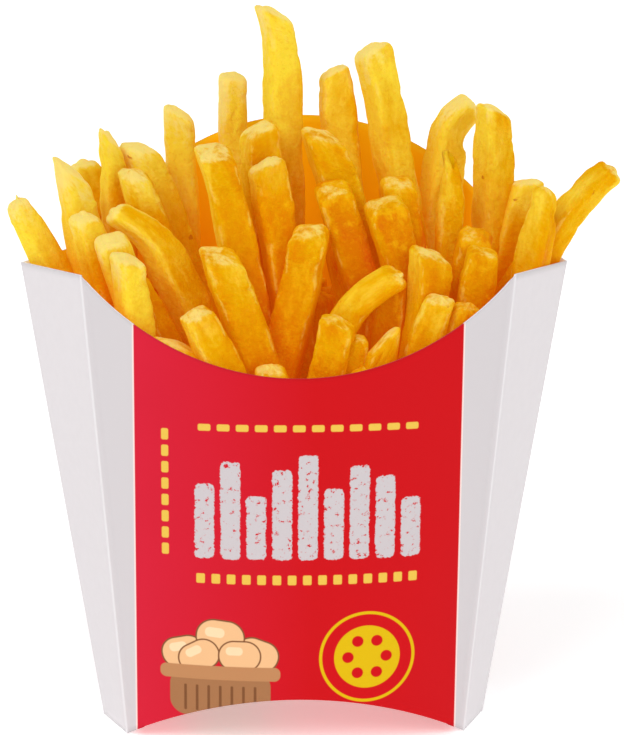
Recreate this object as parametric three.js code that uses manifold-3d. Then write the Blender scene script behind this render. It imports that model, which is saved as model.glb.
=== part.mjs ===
// French fries standing in an open, hexagonal paperboard carton.
// Millimetres, +Z up, the front of the carton faces -Y. The origin is the middle of the whole box's floor.
import * as THREE from "three";
import { mergeVertices } from "three/addons/utils/BufferGeometryUtils.js";
import Module from "manifold-3d";

const wasm = await Module();
wasm.setup();

// ---- Driving dimensions of the carton ----

const PANEL_HALF_BOTTOM = 44.5; // half width of the front and back panels at the floor
const PANEL_HALF_TOP = 55; // the same at the height of the front corners
const CREASE_Y_BOTTOM = 17; // distance of the panel creases from the middle plane, at the floor
const CREASE_Y_TOP = 28; // the same at the height of the front corners
const FOLD_BOTTOM = 51; // the outer folds' distance from the middle, at the floor
const FOLD_TOP = 71.5; // the same at their top
const CORNER_HEIGHT = 124; // top of the front creases
const FOLD_HEIGHT = 123; // top of the outer folds
const BULGE = 11; // how far the front and back panels bow outwards
const BOARD = 0.5; // thickness of the paperboard
const RIM_SAG = 25; // depth of the front rim's scoop
const ARCH_HEIGHT = 12.5; // rise of the pushed-in bottom
const BACK_PEAK = 157; // top of the back panel's arch
const BACK_ARCH_RADIUS = 65;
const BACK_ARCH_X = 4; // the arch's middle lies a little to the right
const PANEL_COLUMNS = 30; // straight strips that the curved panels are made of
const STRIP_COLUMNS = 4; // the same for the slightly twisted strips beside them
const RIM_ROUNDS = 12; // steps that settle where a slanting column meets a curved rim

// ---- Driving dimensions of the heap ----

const CLEARANCE = 0.3; // gap between the food and the board
const CORE_TOP = 64; // height to which the packed feet of the fries are one mass
const CORE_INSET = 1.2; // how far that mass stays off the board
const FOOT_Z = 58; // height at which every fry starts
const CORNER_CUT = 0.2; // share of a fry's side that its broken edge takes
const BEND_STEPS = [1, 0.7, 0.4, 0]; // where a crooked fry is jointed, as shares of its upper end
const STRAIGHT_STEPS = [1, 0]; // the same for a straight one
const STEEPEST_CUT = 1.6; // most that a cut end's corner is off its middle, as a share of the side
const AXIS_STEP = 1; // distance back along a fry from which its direction is taken

// Fries placed by hand, from the front row to the back row.
// Each row: tip x, y, z; lean to the right and to the back, degrees; side; turn about its own length,
// degrees; hook of its upper end to the right; slope of the cut end to the right and to the front,
// degrees; width left at the tip, as a share; length of the upper end, which bends and narrows.
const PLACED = [
  // against the front panel
  [-31.5, -27.5, 106.2, -31, -5, 8.6, 10, 0, -19, 10, 0.9, 7],
  [-26, -29, 114.3, -28, -5, 9.2, 20, 0, 22, 19, 0.85, 9],
  [-7.5, -31, 100.5, -14, -5, 8.4, 0, 0, 5, 19, 0.9, 7],
  [9.8, -29, 112.4, 13, -5, 9.2, -16, -1.2, -19, 10, 0.95, 28],
  [16, -31, 100.5, 6, -5, 7, 0, 0, 0, 0, 0.85, 7],
  [21.8, -28.5, 108.2, 12, -5, 8.4, 15, 0, 42, 10, 0.8, 13],
  [36, -26, 117.4, 17, -5, 8.6, -10, 0, -8, 15, 0.9, 7],
  [43.6, -23.5, 115, 19, -5, 8.4, 12, 0, -15, 15, 0.95, 7],
  [-43.2, -25, 128.2, -4, -5, 9, 32, -0.6, -19, 12, 0.85, 28],
  // second row
  [-19.8, -22, 128.2, -19.5, -2, 9.8, 10, 0, -8, 25, 0.95, 7],
  [-47.6, -16, 131.8, -16, -2, 9.2, 6, 0, 8, 23, 0.95, 7],
  [26, -20, 122.8, 14.5, 0, 9.4, -10, 12.2, -45, 10, 0.8, 22],
  [34.3, -17, 127.8, 6.5, 0, 9.8, 22, -0.6, -23, 10, 0.95, 28],
  [47.9, -15.5, 128.2, 8.5, -1, 8.8, 0, 0, -12, 15, 0.9, 7],
  // third row
  [3.6, -13, 133.2, 14.5, 0, 10.2, -12, -0.8, 4, 21, 0.95, 28],
  [-54.6, -8, 136.4, -15.5, -1, 8.4, 28, 0, 0, 12, 0.9, 7],
  [-47.2, -7.5, 137.6, -27, 0, 9.6, 38, -6.8, 45, 5, 0.66, 16],
  [-21.2, -8, 152.8, -12.5, 2, 9.2, 10, -1, 0, 27, 0.98, 28],
  [22.8, -8, 139.7, -14, 1, 9.6, 12, 0, 12, 21, 1.05, 14],
  [47, -5.5, 130.8, 9, 1, 9.4, 0, 0, -8, 25, 0.92, 7],
  [64.5, -9, 143.6, 12.5, -1, 8, 62, -0.4, -25, 5, 0.75, 14],
  // middle rows
  [-7.8, -4, 149.6, -9, 1, 9.4, 15, 0, 23, 10, 0.98, 7],
  [9.5, -4, 142.9, -17.5, 1, 9.2, 6, 0, 14, 28, 0.98, 7],
  [-72.2, 1, 139.6, -28, 0, 7.3, 45, 1.2, 21, 10, 0.8, 14],
  [-58.4, 3, 147.3, -11, 2, 8.6, 30, 0, -38, 5, 0.85, 12],
  [-42.4, 4.5, 145.8, -20.5, 2, 8.4, 8, 0, -5, 21, 0.85, 7],
  [27.1, 4, 143.4, -8.5, 3, 9, 4, 0, 0, 23, 0.95, 7],
  [39.9, 4.5, 151.8, 4, 3, 6.6, 12, -2, -19, 10, 0.5, 14],
  [83, 0.5, 146.9, 30, 0, 8.6, 30, 5.4, -44, 10, 0.8, 26],
  // behind the middle
  [-9.4, 7.5, 157.2, -4.5, 4, 9.4, 20, 0, 21, 15, 0.98, 7],
  [7.2, 7.5, 155.4, -19.5, 3, 10, 6, 0, -14, 15, 0.95, 7],
  [62.1, 13, 142.4, 15.5, 5, 8, 10, 0, 5, 5, 0.95, 7],
  [-48.5, 14, 154.4, -6, 6, 7.6, 30, 0, -45, 5, 0.7, 16],
  [-41.3, 17, 151.6, -20, 5, 9.6, 26, 0, -8, 8, 0.92, 9],
  [53.3, 17, 161.3, 0, 5, 9, 30, 0, -24, 0, 0.9, 8],
  // tall back rows
  [-55.8, 24.5, 146, -18, 6, 8.8, 5, 0, 10, 5, 0.95, 7],
  [-5.5, 20.5, 187, -1, 4, 9.2, 16, -2, -22, 0, 0.85, 20],
  [20.9, 23.5, 177.2, -9, 6, 9.2, 26, -1, 24, 5, 0.98, 28],
  [11.1, 26.5, 170.7, -6.5, 6, 9.6, 6, 0, 24, 5, 0.85, 9],
  [-30.5, 28.5, 159.7, -3, 4, 8, -8, 0, -28, 5, 0.95, 7],
  [49, 30, 160.7, 9, 3, 9.4, 30, 5.4, -62, 0, 0.88, 11],
  [-15.8, 32.5, 168.9, -1, 6, 7.4, 14, 0, -2, 5, 1, 7],
  // lower ones that back up the gaps between the others
  [-42.6, -15, 121.5, -24, -2, 8.6, 15, 0, 10, 19, 0.9, 7],
  [10.8, 3, 131.9, -12, 1, 8.6, 10, 0, 10, 19, 0.9, 7],
  [13.3, 0, 127, -15, 0, 8, -10, 0, 0, 19, 0.9, 7],
  [20.8, -12, 118, 3, -2, 8, 10, 0, 10, 19, 0.9, 7],
  [25, -14, 120.4, 7, -2, 8, -15, 0, -10, 19, 0.9, 7],
  [14.7, -26, 107.4, 9, -4, 7.6, 10, 0, 0, 15, 0.9, 7],
  [31.5, 6, 127.5, 5, 2, 8.4, 20, 0, -12, 15, 0.9, 7],
];

// Shorter fries fill what is left between those, fanned out from the middle of the carton.
const FILL_SEED = 70;
const FILL_BASE_Z = 90; // height of the plane on which their places are tried out
const FILL_PITCH_X = 4.6;
const FILL_PITCH_Y = 4.2;
const FILL_COLUMNS = 13; // on either side of the middle
const FILL_ROWS = 8; // in front of the middle and behind it
const FILL_JITTER = 1.6;
const FILL_LEAN = 0.36; // degrees outwards for each millimetre from the middle
const FILL_LEAN_SPREAD = 6;
const FILL_RECLINE = 0.14; // the same towards the back
const FILL_RECLINE_SPREAD = 5;
const FILL_TOP = 107; // height of a tip in the middle of the carton
const FILL_TOP_BACK = 0.28; // how much higher it is for each millimetre further back
const FILL_TOP_OUT = 0.12; // the same for each millimetre to either side
const FILL_TOP_SPREAD = 7;
const FILL_SIDE_LOW = 7;
const FILL_SIDE_HIGH = 8.6;
const FILL_TURN = 40; // most that one is turned about its own length, degrees
const FILL_CUT = 25; // steepest cut end, degrees
const FILL_TIP_SHARE = 0.9;
const FILL_UPPER_END = 7; // length that narrows to the tip
const FILL_APART = 7.2; // least distance between two fries' middles
const FILL_WALL = 4.8; // least distance of a fry's middle from the board
const FILL_LEVELS = [84, 92, 100, 108, 116]; // heights at which those distances are kept

// ---- Helpers ----

const lerp = THREE.MathUtils.lerp;
const rad = THREE.MathUtils.degToRad;
const UP = new THREE.Vector3(0, 0, 1);
const MERGE_WITHIN = 1e-4; // vertices closer than this are one
const RANDOM_FACTOR = 1664525;
const RANDOM_STEP = 1013904223;
const RANDOM_RANGE = 2 ** 32;

// Turns a closed geometry into a solid that can be cut and joined.
function solidOf(geometry) {
  const bare = new THREE.BufferGeometry();
  bare.setAttribute("position", geometry.getAttribute("position"));
  bare.setIndex(geometry.index);
  const merged = mergeVertices(bare, MERGE_WITHIN);
  const mesh = new wasm.Mesh({
    numProp: 3,
    vertProperties: merged.attributes.position.array,
    triVerts: new Uint32Array(merged.index.array),
  });
  return new wasm.Manifold(mesh);
}

// Turns a solid back into a geometry with flat faces.
function geometryOf(solid) {
  const mesh = solid.getMesh();
  const geometry = new THREE.BufferGeometry();
  geometry.setAttribute("position", new THREE.BufferAttribute(new Float32Array(mesh.vertProperties), 3));
  geometry.setIndex(new THREE.BufferAttribute(new Uint32Array(mesh.triVerts), 1));
  const flat = geometry.toNonIndexed();
  flat.computeVertexNormals();
  return flat;
}

// The largest body of a solid. Loose scraps go, and so do sealed hollows, which are bodies of their own.
function largestBody(solid) {
  return solid.decompose().reduce((best, body) => (body.volume() > best.volume() ? body : best));
}

// A small repeatable random number source, 0 to 1.
function randomSource(seed) {
  let state = seed;
  return () => {
    state = (Math.imul(state, RANDOM_FACTOR) + RANDOM_STEP) >>> 0;
    return state / RANDOM_RANGE;
  };
}

// ---- Carton ----

// Height of the front rim at x: a circular scoop between the two front corners.
function frontRim(x) {
  const radius = (PANEL_HALF_TOP ** 2 + RIM_SAG ** 2) / (2 * RIM_SAG);
  return CORNER_HEIGHT - RIM_SAG + radius - Math.sqrt(radius ** 2 - x ** 2);
}

// Height of the back rim at x: an arch that ends on low shoulders.
function backRim(x) {
  const across = Math.min(Math.abs(x - BACK_ARCH_X), BACK_ARCH_RADIUS);
  const arch = BACK_PEAK - BACK_ARCH_RADIUS + Math.sqrt(BACK_ARCH_RADIUS ** 2 - across ** 2);
  return Math.max(arch, CORNER_HEIGHT);
}

// Height of the pushed-in bottom at x. It is flat beyond the panels, where the carton stands.
function bottomAt(x) {
  return ARCH_HEIGHT * Math.max(0, 1 - (x / PANEL_HALF_BOTTOM) ** 2);
}

// A point of a curved panel: share runs from -1 to 1 across it, side is -1 for the front and 1 for the back.
function panelPoint(share, z, side, inset) {
  const up = z / CORNER_HEIGHT;
  const half = lerp(PANEL_HALF_BOTTOM, PANEL_HALF_TOP, up);
  const depth = lerp(CREASE_Y_BOTTOM, CREASE_Y_TOP, up) + BULGE * (1 - share ** 2);
  // Moving in along the panel's normal keeps the board even.
  const normal = new THREE.Vector2((2 * BULGE * share) / half, 1).normalize();
  const x = share * half - inset * normal.x;
  return new THREE.Vector3(x, side * (depth - inset * normal.y), z);
}

// A point of an outer fold, on hand -1 or 1.
function foldPoint(z, hand, inset) {
  const up = z / FOLD_HEIGHT;
  const out = lerp(FOLD_BOTTOM, FOLD_TOP, up);
  const strip = new THREE.Vector2(
    out - lerp(PANEL_HALF_BOTTOM, PANEL_HALF_TOP, up),
    lerp(CREASE_Y_BOTTOM, CREASE_Y_TOP, up),
  );
  const mitre = inset * (strip.length() / strip.y);
  return new THREE.Vector3(hand * (out - mitre), 0, z);
}

// Where a slanting column of a panel meets a rim that curves with x.
function settle(share, side, rim) {
  let z = CORNER_HEIGHT;
  for (let i = 0; i < RIM_ROUNDS; i += 1) {
    z = rim(panelPoint(share, z, side, 0).x);
  }
  return z;
}

// The columns of the carton, as functions from height to point, with the heights of their two ends.
// A half runs from left to right over strip, panel and strip; a fold closes the ring at either end.
function columns(inset) {
  const shares = Array.from({ length: PANEL_COLUMNS + 1 }, (_, i) => (2 * i) / PANEL_COLUMNS - 1);
  const inner = Array.from({ length: STRIP_COLUMNS - 1 }, (_, i) => (i + 1) / STRIP_COLUMNS);
  const panel = (side, rim) =>
    shares.map((share) => ({
      at: (z) => panelPoint(share, z, side, inset),
      low: bottomAt(share * PANEL_HALF_BOTTOM),
      high: settle(share, side, rim),
    }));
  const strip = (hand, side, rim) =>
    inner.map((share) => ({
      at: (z) => panelPoint(hand, z, side, inset).lerp(foldPoint(z, hand, inset), share),
      low: 0,
      high: lerp(settle(hand, side, rim), FOLD_HEIGHT, share),
    }));
  const half = (side, rim) => [
    ...strip(-1, side, rim).reverse(),
    ...panel(side, rim),
    ...strip(1, side, rim),
  ];
  const fold = (hand) => ({ at: (z) => foldPoint(z, hand, inset), low: 0, high: FOLD_HEIGHT });
  return { left: fold(-1), front: half(-1, frontRim), right: fold(1), back: half(1, backRim) };
}

// A closed solid between two heights of every column, which low and high work out from the column.
function fillColumns(inset, low, high) {
  const { left, front, right, back } = columns(inset);
  const ring = [left, ...front, right, ...back.slice().reverse()];
  const points = [];
  for (const column of ring) points.push(column.at(low(column)));
  for (const column of ring) points.push(column.at(high(column)));
  const count = ring.length;
  const last = front.length - 1;
  const faces = [];
  for (let i = 0; i < count; i += 1) {
    const next = (i + 1) % count;
    faces.push([i, next, next + count], [i, next + count, i + count]);
  }
  // Each cap is a row of crosswise strips with a triangle at both ends, so that it bends along x alone.
  const frontAt = (i) => 1 + i;
  const backAt = (i) => count - 1 - i;
  const cap = [[0, frontAt(0), backAt(0)], [last + 2, backAt(last), frontAt(last)]];
  for (let i = 0; i < last; i += 1) {
    cap.push([frontAt(i), frontAt(i + 1), backAt(i + 1)], [frontAt(i), backAt(i + 1), backAt(i)]);
  }
  for (const [a, b, c] of cap) faces.push([a + count, b + count, c + count], [a, c, b]);
  const geometry = new THREE.BufferGeometry().setFromPoints(points);
  geometry.setIndex(faces.flat());
  return solidOf(geometry);
}

const ABOVE_RIM = 40; // how far the cutting shape of the inside runs past the rim

// The carton's walls and bottom with a gap of grow all round it.
function cartonShell(grow) {
  const outside = fillColumns(-grow, (c) => c.low - grow, (c) => c.high + grow);
  const inside = fillColumns(BOARD + grow, (c) => c.low + BOARD + grow, (c) => c.high + ABOVE_RIM);
  return outside.subtract(inside);
}

// ---- Fries ----

// A fry with its heading, a unit vector along its straight part towards the tip, and its length worked out.
function fryOf(tip, lean, recline, rest) {
  const heading = new THREE.Vector3(Math.tan(rad(lean)), Math.tan(rad(recline)), 1).normalize();
  return { tip, heading, length: (tip.z - FOOT_Z) / heading.z, ...rest };
}

// A fry from its row of the table.
function fryFrom([x, y, z, lean, recline, side, turn, hook, cutRight, cutFront, tipShare, upperEnd]) {
  const rest = { side, turn, hook, cutRight, cutFront, tipShare, upperEnd };
  return fryOf(new THREE.Vector3(x, y, z), lean, recline, rest);
}

// How far into a fry's upper end a distance along it lies: 0 where that end starts and 1 at the tip.
function upperShare(fry, along) {
  return Math.max(0, along - (fry.length - fry.upperEnd)) / fry.upperEnd;
}

// Middle of a fry at a distance along it from its foot.
function middleAt(fry, along) {
  const bend = upperShare(fry, along);
  const point = fry.tip.clone().addScaledVector(fry.heading, along - fry.length);
  point.x += fry.hook * (bend ** 3 - 1);
  return point;
}

// The square section of a fry with its corners broken.
function sectionOf(side) {
  const half = side / 2;
  const flat = half * (1 - 2 * CORNER_CUT);
  const corner = [new THREE.Vector2(half, flat), new THREE.Vector2(flat, half)];
  const middle = new THREE.Vector2();
  const turned = (angle) => corner.map((point) => point.clone().rotateAround(middle, angle));
  return new THREE.Shape([0, 1, 2, 3].flatMap((quarter) => turned((quarter * Math.PI) / 2)));
}

// Moves a point of a fry's section to its place at a distance along the fry from its foot.
function bendTo(fry, point, along) {
  const centre = middleAt(fry, along);
  const axis = centre.clone().sub(middleAt(fry, along - AXIS_STEP)).normalize();
  point.multiplyScalar(lerp(1, fry.tipShare, upperShare(fry, along))).applyAxisAngle(UP, rad(fry.turn));
  point.applyQuaternion(new THREE.Quaternion().setFromUnitVectors(UP, axis));
  if (along === fry.length) {
    // Slide the end's corners along the axis, onto the plane of the cut.
    const normal = new THREE.Vector3(-Math.tan(rad(fry.cutRight)), -Math.tan(rad(fry.cutFront)), 1);
    const slide = -point.dot(normal) / axis.dot(normal);
    const most = STEEPEST_CUT * fry.side;
    point.addScaledVector(axis, THREE.MathUtils.clamp(slide, -most, most));
  }
  return point.add(centre);
}

// The solid of one fry: a prism with broken edges, bent along its middle and cut off slanting at the tip.
function frySolid(fry) {
  const joints = fry.hook ? BEND_STEPS : STRAIGHT_STEPS;
  const alongs = [0, ...joints.map((share) => fry.length - share * fry.upperEnd)];
  const steps = alongs.length - 1;
  const prism = new THREE.ExtrudeGeometry(sectionOf(fry.side), { depth: 1, steps, bevelEnabled: false });
  const place = prism.getAttribute("position");
  for (let i = 0; i < place.count; i += 1) {
    const along = alongs[Math.round(place.getZ(i) * steps)];
    const point = bendTo(fry, new THREE.Vector3(place.getX(i), place.getY(i), 0), along);
    place.setXYZ(i, point.x, point.y, point.z);
  }
  return solidOf(prism);
}

// Middle of a fry at a height, or nothing above its tip.
function middleAtHeight(fry, z) {
  if (z > fry.tip.z) return null;
  return middleAt(fry, Math.max(0, (z - FOOT_Z) / fry.heading.z));
}

// Level distance from a point to the nearest board, with the panels taken as seen straight on.
function boardGap(point) {
  const up = point.z / CORNER_HEIGHT;
  const half = lerp(PANEL_HALF_BOTTOM, PANEL_HALF_TOP, up);
  const crease = lerp(CREASE_Y_BOTTOM, CREASE_Y_TOP, up);
  const strip = lerp(FOLD_BOTTOM, FOLD_TOP, up) - half;
  const across = Math.abs(point.x);
  const depth = Math.abs(point.y);
  const toPanel = across < half ? crease + BULGE * (1 - (across / half) ** 2) - depth : Infinity;
  const toStrip = ((half - across) * crease + (crease - depth) * strip) / Math.hypot(crease, strip);
  return Math.min(toPanel, toStrip);
}

// True where a fry keeps its distance from the board and from the fries already there.
function fits(fry, others) {
  return FILL_LEVELS.every((z) => {
    const here = middleAtHeight(fry, z);
    if (!here) return true;
    if (boardGap(here) < FILL_WALL) return false;
    return others.every((other) => {
      const there = middleAtHeight(other, z);
      return !there || Math.hypot(there.x - here.x, there.y - here.y) > FILL_APART;
    });
  });
}

// The short fries in between.
function fillers(placed) {
  const random = randomSource(FILL_SEED);
  const between = (low, high) => lerp(low, high, random());
  const around = (middle, spread) => between(middle - spread, middle + spread);
  const all = placed.slice();
  for (let row = FILL_ROWS; row >= -FILL_ROWS; row -= 1) {
    for (let column = -FILL_COLUMNS; column <= FILL_COLUMNS; column += 1) {
      const x = around((column + (row & 1) / 2) * FILL_PITCH_X, FILL_JITTER);
      const y = around(row * FILL_PITCH_Y, FILL_JITTER);
      const lean = around(x * FILL_LEAN, FILL_LEAN_SPREAD);
      const recline = around(y * FILL_RECLINE, FILL_RECLINE_SPREAD);
      const top = around(FILL_TOP + y * FILL_TOP_BACK + Math.abs(x) * FILL_TOP_OUT, FILL_TOP_SPREAD);
      const rise = top - FILL_BASE_Z;
      const tip = new THREE.Vector3(x + rise * Math.tan(rad(lean)), y + rise * Math.tan(rad(recline)), top);
      const fry = fryOf(tip, lean, recline, {
        side: between(FILL_SIDE_LOW, FILL_SIDE_HIGH),
        turn: around(0, FILL_TURN),
        hook: 0,
        cutRight: around(0, FILL_CUT),
        cutFront: between(0, FILL_CUT),
        tipShare: FILL_TIP_SHARE,
        upperEnd: FILL_UPPER_END,
      });
      if (fits(fry, all)) all.push(fry);
    }
  }
  return all.slice(placed.length);
}

// The whole heap as one solid: the packed feet with every fry fused on, clear of the board.
function heapSolid() {
  const core = fillColumns(BOARD + CORE_INSET, (c) => c.low + BOARD + CORE_INSET, () => CORE_TOP);
  const placed = PLACED.map(fryFrom);
  const fries = [...placed, ...fillers(placed)].map(frySolid);
  const fused = fries.reduce((heap, fry) => heap.add(fry), core);
  return largestBody(fused.subtract(cartonShell(CLEARANCE)));
}

// ---- The part ----

const paperboard = new THREE.MeshStandardMaterial({ color: 0xd9182c, roughness: 0.45, metalness: 0 });
const friedPotato = new THREE.MeshStandardMaterial({ color: 0xf0b21e, roughness: 0.6, metalness: 0 });

function mesh(name, solid, material) {
  const made = new THREE.Mesh(geometryOf(solid), material);
  made.name = name;
  return made;
}

const part = new THREE.Group();
part.name = "french_fries_in_carton";
part.add(mesh("carton", cartonShell(0), paperboard));
part.add(mesh("fries", heapSolid(), friedPotato));

// The leaning fries make the box of the whole lopsided, so both pieces move together onto its middle.
const box = new THREE.Box3().setFromObject(part);
const middle = box.getCenter(new THREE.Vector3()).setZ(box.min.z);
for (const piece of part.children) piece.position.sub(middle);

export default part;
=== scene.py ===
"""French fries standing in an open, hexagonal paperboard carton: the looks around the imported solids.

Sizes are in millimetres in the carton's own frame (its middle plane at x = 0 and y = 0, floor at z = 0).
Meshes are turned to metres and moved to the row's frame when they become objects.
"""

import logging
import math
from dataclasses import dataclass
from enum import Enum

import bmesh
import bpy
from mathutils import Matrix, Vector, noise


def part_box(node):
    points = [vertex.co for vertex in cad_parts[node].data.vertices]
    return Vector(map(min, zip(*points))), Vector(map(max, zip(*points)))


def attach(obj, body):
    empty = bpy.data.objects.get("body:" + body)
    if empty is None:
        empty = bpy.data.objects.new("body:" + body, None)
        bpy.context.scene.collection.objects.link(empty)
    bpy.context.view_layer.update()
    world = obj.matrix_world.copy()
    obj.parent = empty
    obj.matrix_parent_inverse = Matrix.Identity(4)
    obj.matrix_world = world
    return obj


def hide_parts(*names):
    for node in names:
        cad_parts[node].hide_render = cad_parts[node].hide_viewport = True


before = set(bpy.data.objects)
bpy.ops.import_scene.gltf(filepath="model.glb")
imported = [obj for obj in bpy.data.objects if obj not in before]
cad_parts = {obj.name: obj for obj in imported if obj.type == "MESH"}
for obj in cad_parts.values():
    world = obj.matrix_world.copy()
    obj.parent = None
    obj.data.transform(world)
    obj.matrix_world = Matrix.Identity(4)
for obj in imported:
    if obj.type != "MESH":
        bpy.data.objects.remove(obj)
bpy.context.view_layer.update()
LOG = logging.getLogger("fries")

METRE = 0.001  # one millimetre
UP = Vector((0, 0, 1))


# ---- Small helpers ----


def linear(hex_colour: str) -> tuple[float, float, float, float]:
    """Turns an sRGB hex colour to a linear one.

    Args:
        hex_colour: six hex digits, such as "F2B41E".

    Returns:
        Red, green and blue, linear, and an alpha of 1.
    """
    shares = [int(hex_colour[i:i + 2], 16) / 255 for i in (0, 2, 4)]
    red, green, blue = (c / 12.92 if c <= 0.04045 else ((c + 0.055) / 1.055) ** 2.4 for c in shares)
    return red, green, blue, 1.0


def node(tree: bpy.types.NodeTree, kind: str, inputs: dict | None = None,
         **settings: object) -> bpy.types.Node:
    """Adds a node with its settings and links.

    Args:
        tree: the material's node tree.
        kind: the node's type name.
        inputs: what goes into its sockets, by name or number: a value, or another node's output.
        settings: the node's own properties.

    Returns:
        The new node.
    """
    made = tree.nodes.new(kind)
    for name, value in settings.items():
        setattr(made, name, value)
    plug(tree, made, inputs or {})
    return made


def plug(tree: bpy.types.NodeTree, made: bpy.types.Node, inputs: dict) -> None:
    """Fills a node's sockets.

    Args:
        tree: the material's node tree.
        made: the node.
        inputs: what goes into its sockets, by name or number: a value, or another node's output.
    """
    for key, value in inputs.items():
        if isinstance(value, bpy.types.NodeSocket):
            tree.links.new(value, made.inputs[key])
        else:
            made.inputs[key].default_value = value


def blank_material(name: str) -> tuple[bpy.types.Material, bpy.types.NodeTree, bpy.types.Node]:
    """Makes a material.

    Args:
        name: what it is called.

    Returns:
        The material, its node tree and its shader.
    """
    made = bpy.data.materials.new(name)
    made.use_nodes = True
    return made, made.node_tree, made.node_tree.nodes["Principled BSDF"]


def toward(azimuth: float, elevation: float) -> Vector:
    """Direction from the carton to something that stands round it.

    Args:
        azimuth: degrees to the right of the carton's front.
        elevation: degrees up.

    Returns:
        A unit vector.
    """
    side, high = math.radians(azimuth), math.radians(elevation)
    return Vector((math.sin(side) * math.cos(high), -math.cos(side) * math.cos(high), math.sin(high)))


def lerp(low: float, high: float, share: float) -> float:
    """Straight mix of two numbers."""
    return low + (high - low) * share


def smooth_step(low: float, high: float, value: float) -> float:
    """0 below low, 1 above high, and a soft rise between them."""
    share = min(max((value - low) / (high - low), 0.0), 1.0)
    return share * share * (3 - 2 * share)


# ---- The paperboard carton ----


@dataclass(frozen=True)
class CartonShape:
    """Form of the carton's board, which the carton and the fries in it both follow."""

    panel_half_bottom: float = 44.5  # from the middle to a crease, at the floor
    panel_half_top: float = 55.0  # and at the front corners
    crease_y_bottom: float = 17.0  # from the middle plane to a crease
    crease_y_top: float = 28.0
    fold_bottom: float = 51.0  # from the middle to an outer fold
    fold_top: float = 71.5
    corner_height: float = 124.0  # where the creases end
    fold_height: float = 123.0  # where the outer folds end
    bulge: float = 11.0  # how far a panel bows out past its creases
    board: float = 0.5  # thickness
    rim_sag: float = 25.0  # how deep the front rim is scooped
    arch_height: float = 12.5  # of the pushed-in bottom, in its middle
    back_peak: float = 157.0
    back_arch_radius: float = 65.0
    back_arch_x: float = 4.0
    settle_rounds: int = 12  # steps that find where a slanting column meets the rim

    def half_at(self, z: float) -> float:
        """Half width of the panels at a height."""
        return lerp(self.panel_half_bottom, self.panel_half_top, z / self.corner_height)

    def crease_at(self, z: float) -> float:
        """Distance of the creases from the middle plane at a height."""
        return lerp(self.crease_y_bottom, self.crease_y_top, z / self.corner_height)

    def fold_at(self, z: float) -> float:
        """Distance of the outer folds from the middle at a height."""
        return lerp(self.fold_bottom, self.fold_top, z / self.fold_height)

    def front_rim(self, x: float) -> float:
        """Height of the scooped front rim at x."""
        radius = (self.panel_half_top ** 2 + self.rim_sag ** 2) / (2 * self.rim_sag)
        return self.corner_height - self.rim_sag + radius - math.sqrt(radius ** 2 - x ** 2)

    def back_rim(self, x: float) -> float:
        """Height of the arched back rim.

        Args:
            x: distance to the right of the middle.

        Returns:
            The height there, and never less than the corners'.
        """
        across = min(abs(x - self.back_arch_x), self.back_arch_radius)
        arch = self.back_peak - self.back_arch_radius + math.sqrt(self.back_arch_radius ** 2 - across ** 2)
        return max(arch, self.corner_height)

    def bottom_at(self, x: float) -> float:
        """Height of the pushed-in bottom at x."""
        return self.arch_height * max(0.0, 1 - (x / self.panel_half_bottom) ** 2)

    def plan(self, across: float, z: float) -> Vector:
        """A point of the board's outside before its creases are rounded, on the back half.

        Args:
            across: -1 to 1 on the panel, and on to -2 and 2 over the strips beside it.
            z: its height.

        Returns:
            Its x and y, with y growing away from the middle plane.
        """
        half, crease = self.half_at(z), self.crease_at(z)
        if abs(across) <= 1:
            return Vector((across * half, crease + self.bulge * (1 - across ** 2)))
        share = abs(across) - 1
        x = lerp(half, self.fold_at(z), share)
        return Vector((math.copysign(x, across), lerp(crease, 0, share)))

    def strip_length(self, z: float) -> float:
        """Width of a strip between crease and fold at a height."""
        return math.hypot(self.fold_at(z) - self.half_at(z), self.crease_at(z))

    def gap(self, point: Vector) -> tuple[float, Vector]:
        """Level distance from a point inside to the outside of the nearest board.

        Args:
            point: a point in the carton.

        Returns:
            The distance, and the level direction away from that board.
        """
        half, crease, fold = self.half_at(point.z), self.crease_at(point.z), self.fold_at(point.z)
        across, depth = abs(point.x), abs(point.y)
        hand, side = math.copysign(1, point.x), math.copysign(1, point.y)
        to_panel = math.inf
        if across < half:
            to_panel = crease + self.bulge * (1 - (across / half) ** 2) - depth
        strip = Vector((crease, fold - half)).normalized()
        to_strip = (half - across) * strip.x + (crease - depth) * strip.y
        if to_panel < to_strip:
            return to_panel, Vector((0, -side, 0))
        return to_strip, Vector((-hand * strip.x, -side * strip.y, 0))

    def rim_over(self, x: float, side: float) -> float:
        """Height of the board's rim.

        Args:
            x: distance to the right of the middle.
            side: -1 on the front, 1 on the back.

        Returns:
            The height there.
        """
        if abs(x) > self.panel_half_top:
            return self.fold_height
        return self.front_rim(x) if side < 0 else self.back_rim(x)


class Side(Enum):
    """The two halves of the carton."""

    FRONT = -1
    BACK = 1


class BoardFace(Enum):
    """The board's faces, in the order of the carton's material slots."""

    PRINTED = 0
    INSIDE = 1
    CUT_EDGE = 2


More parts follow.
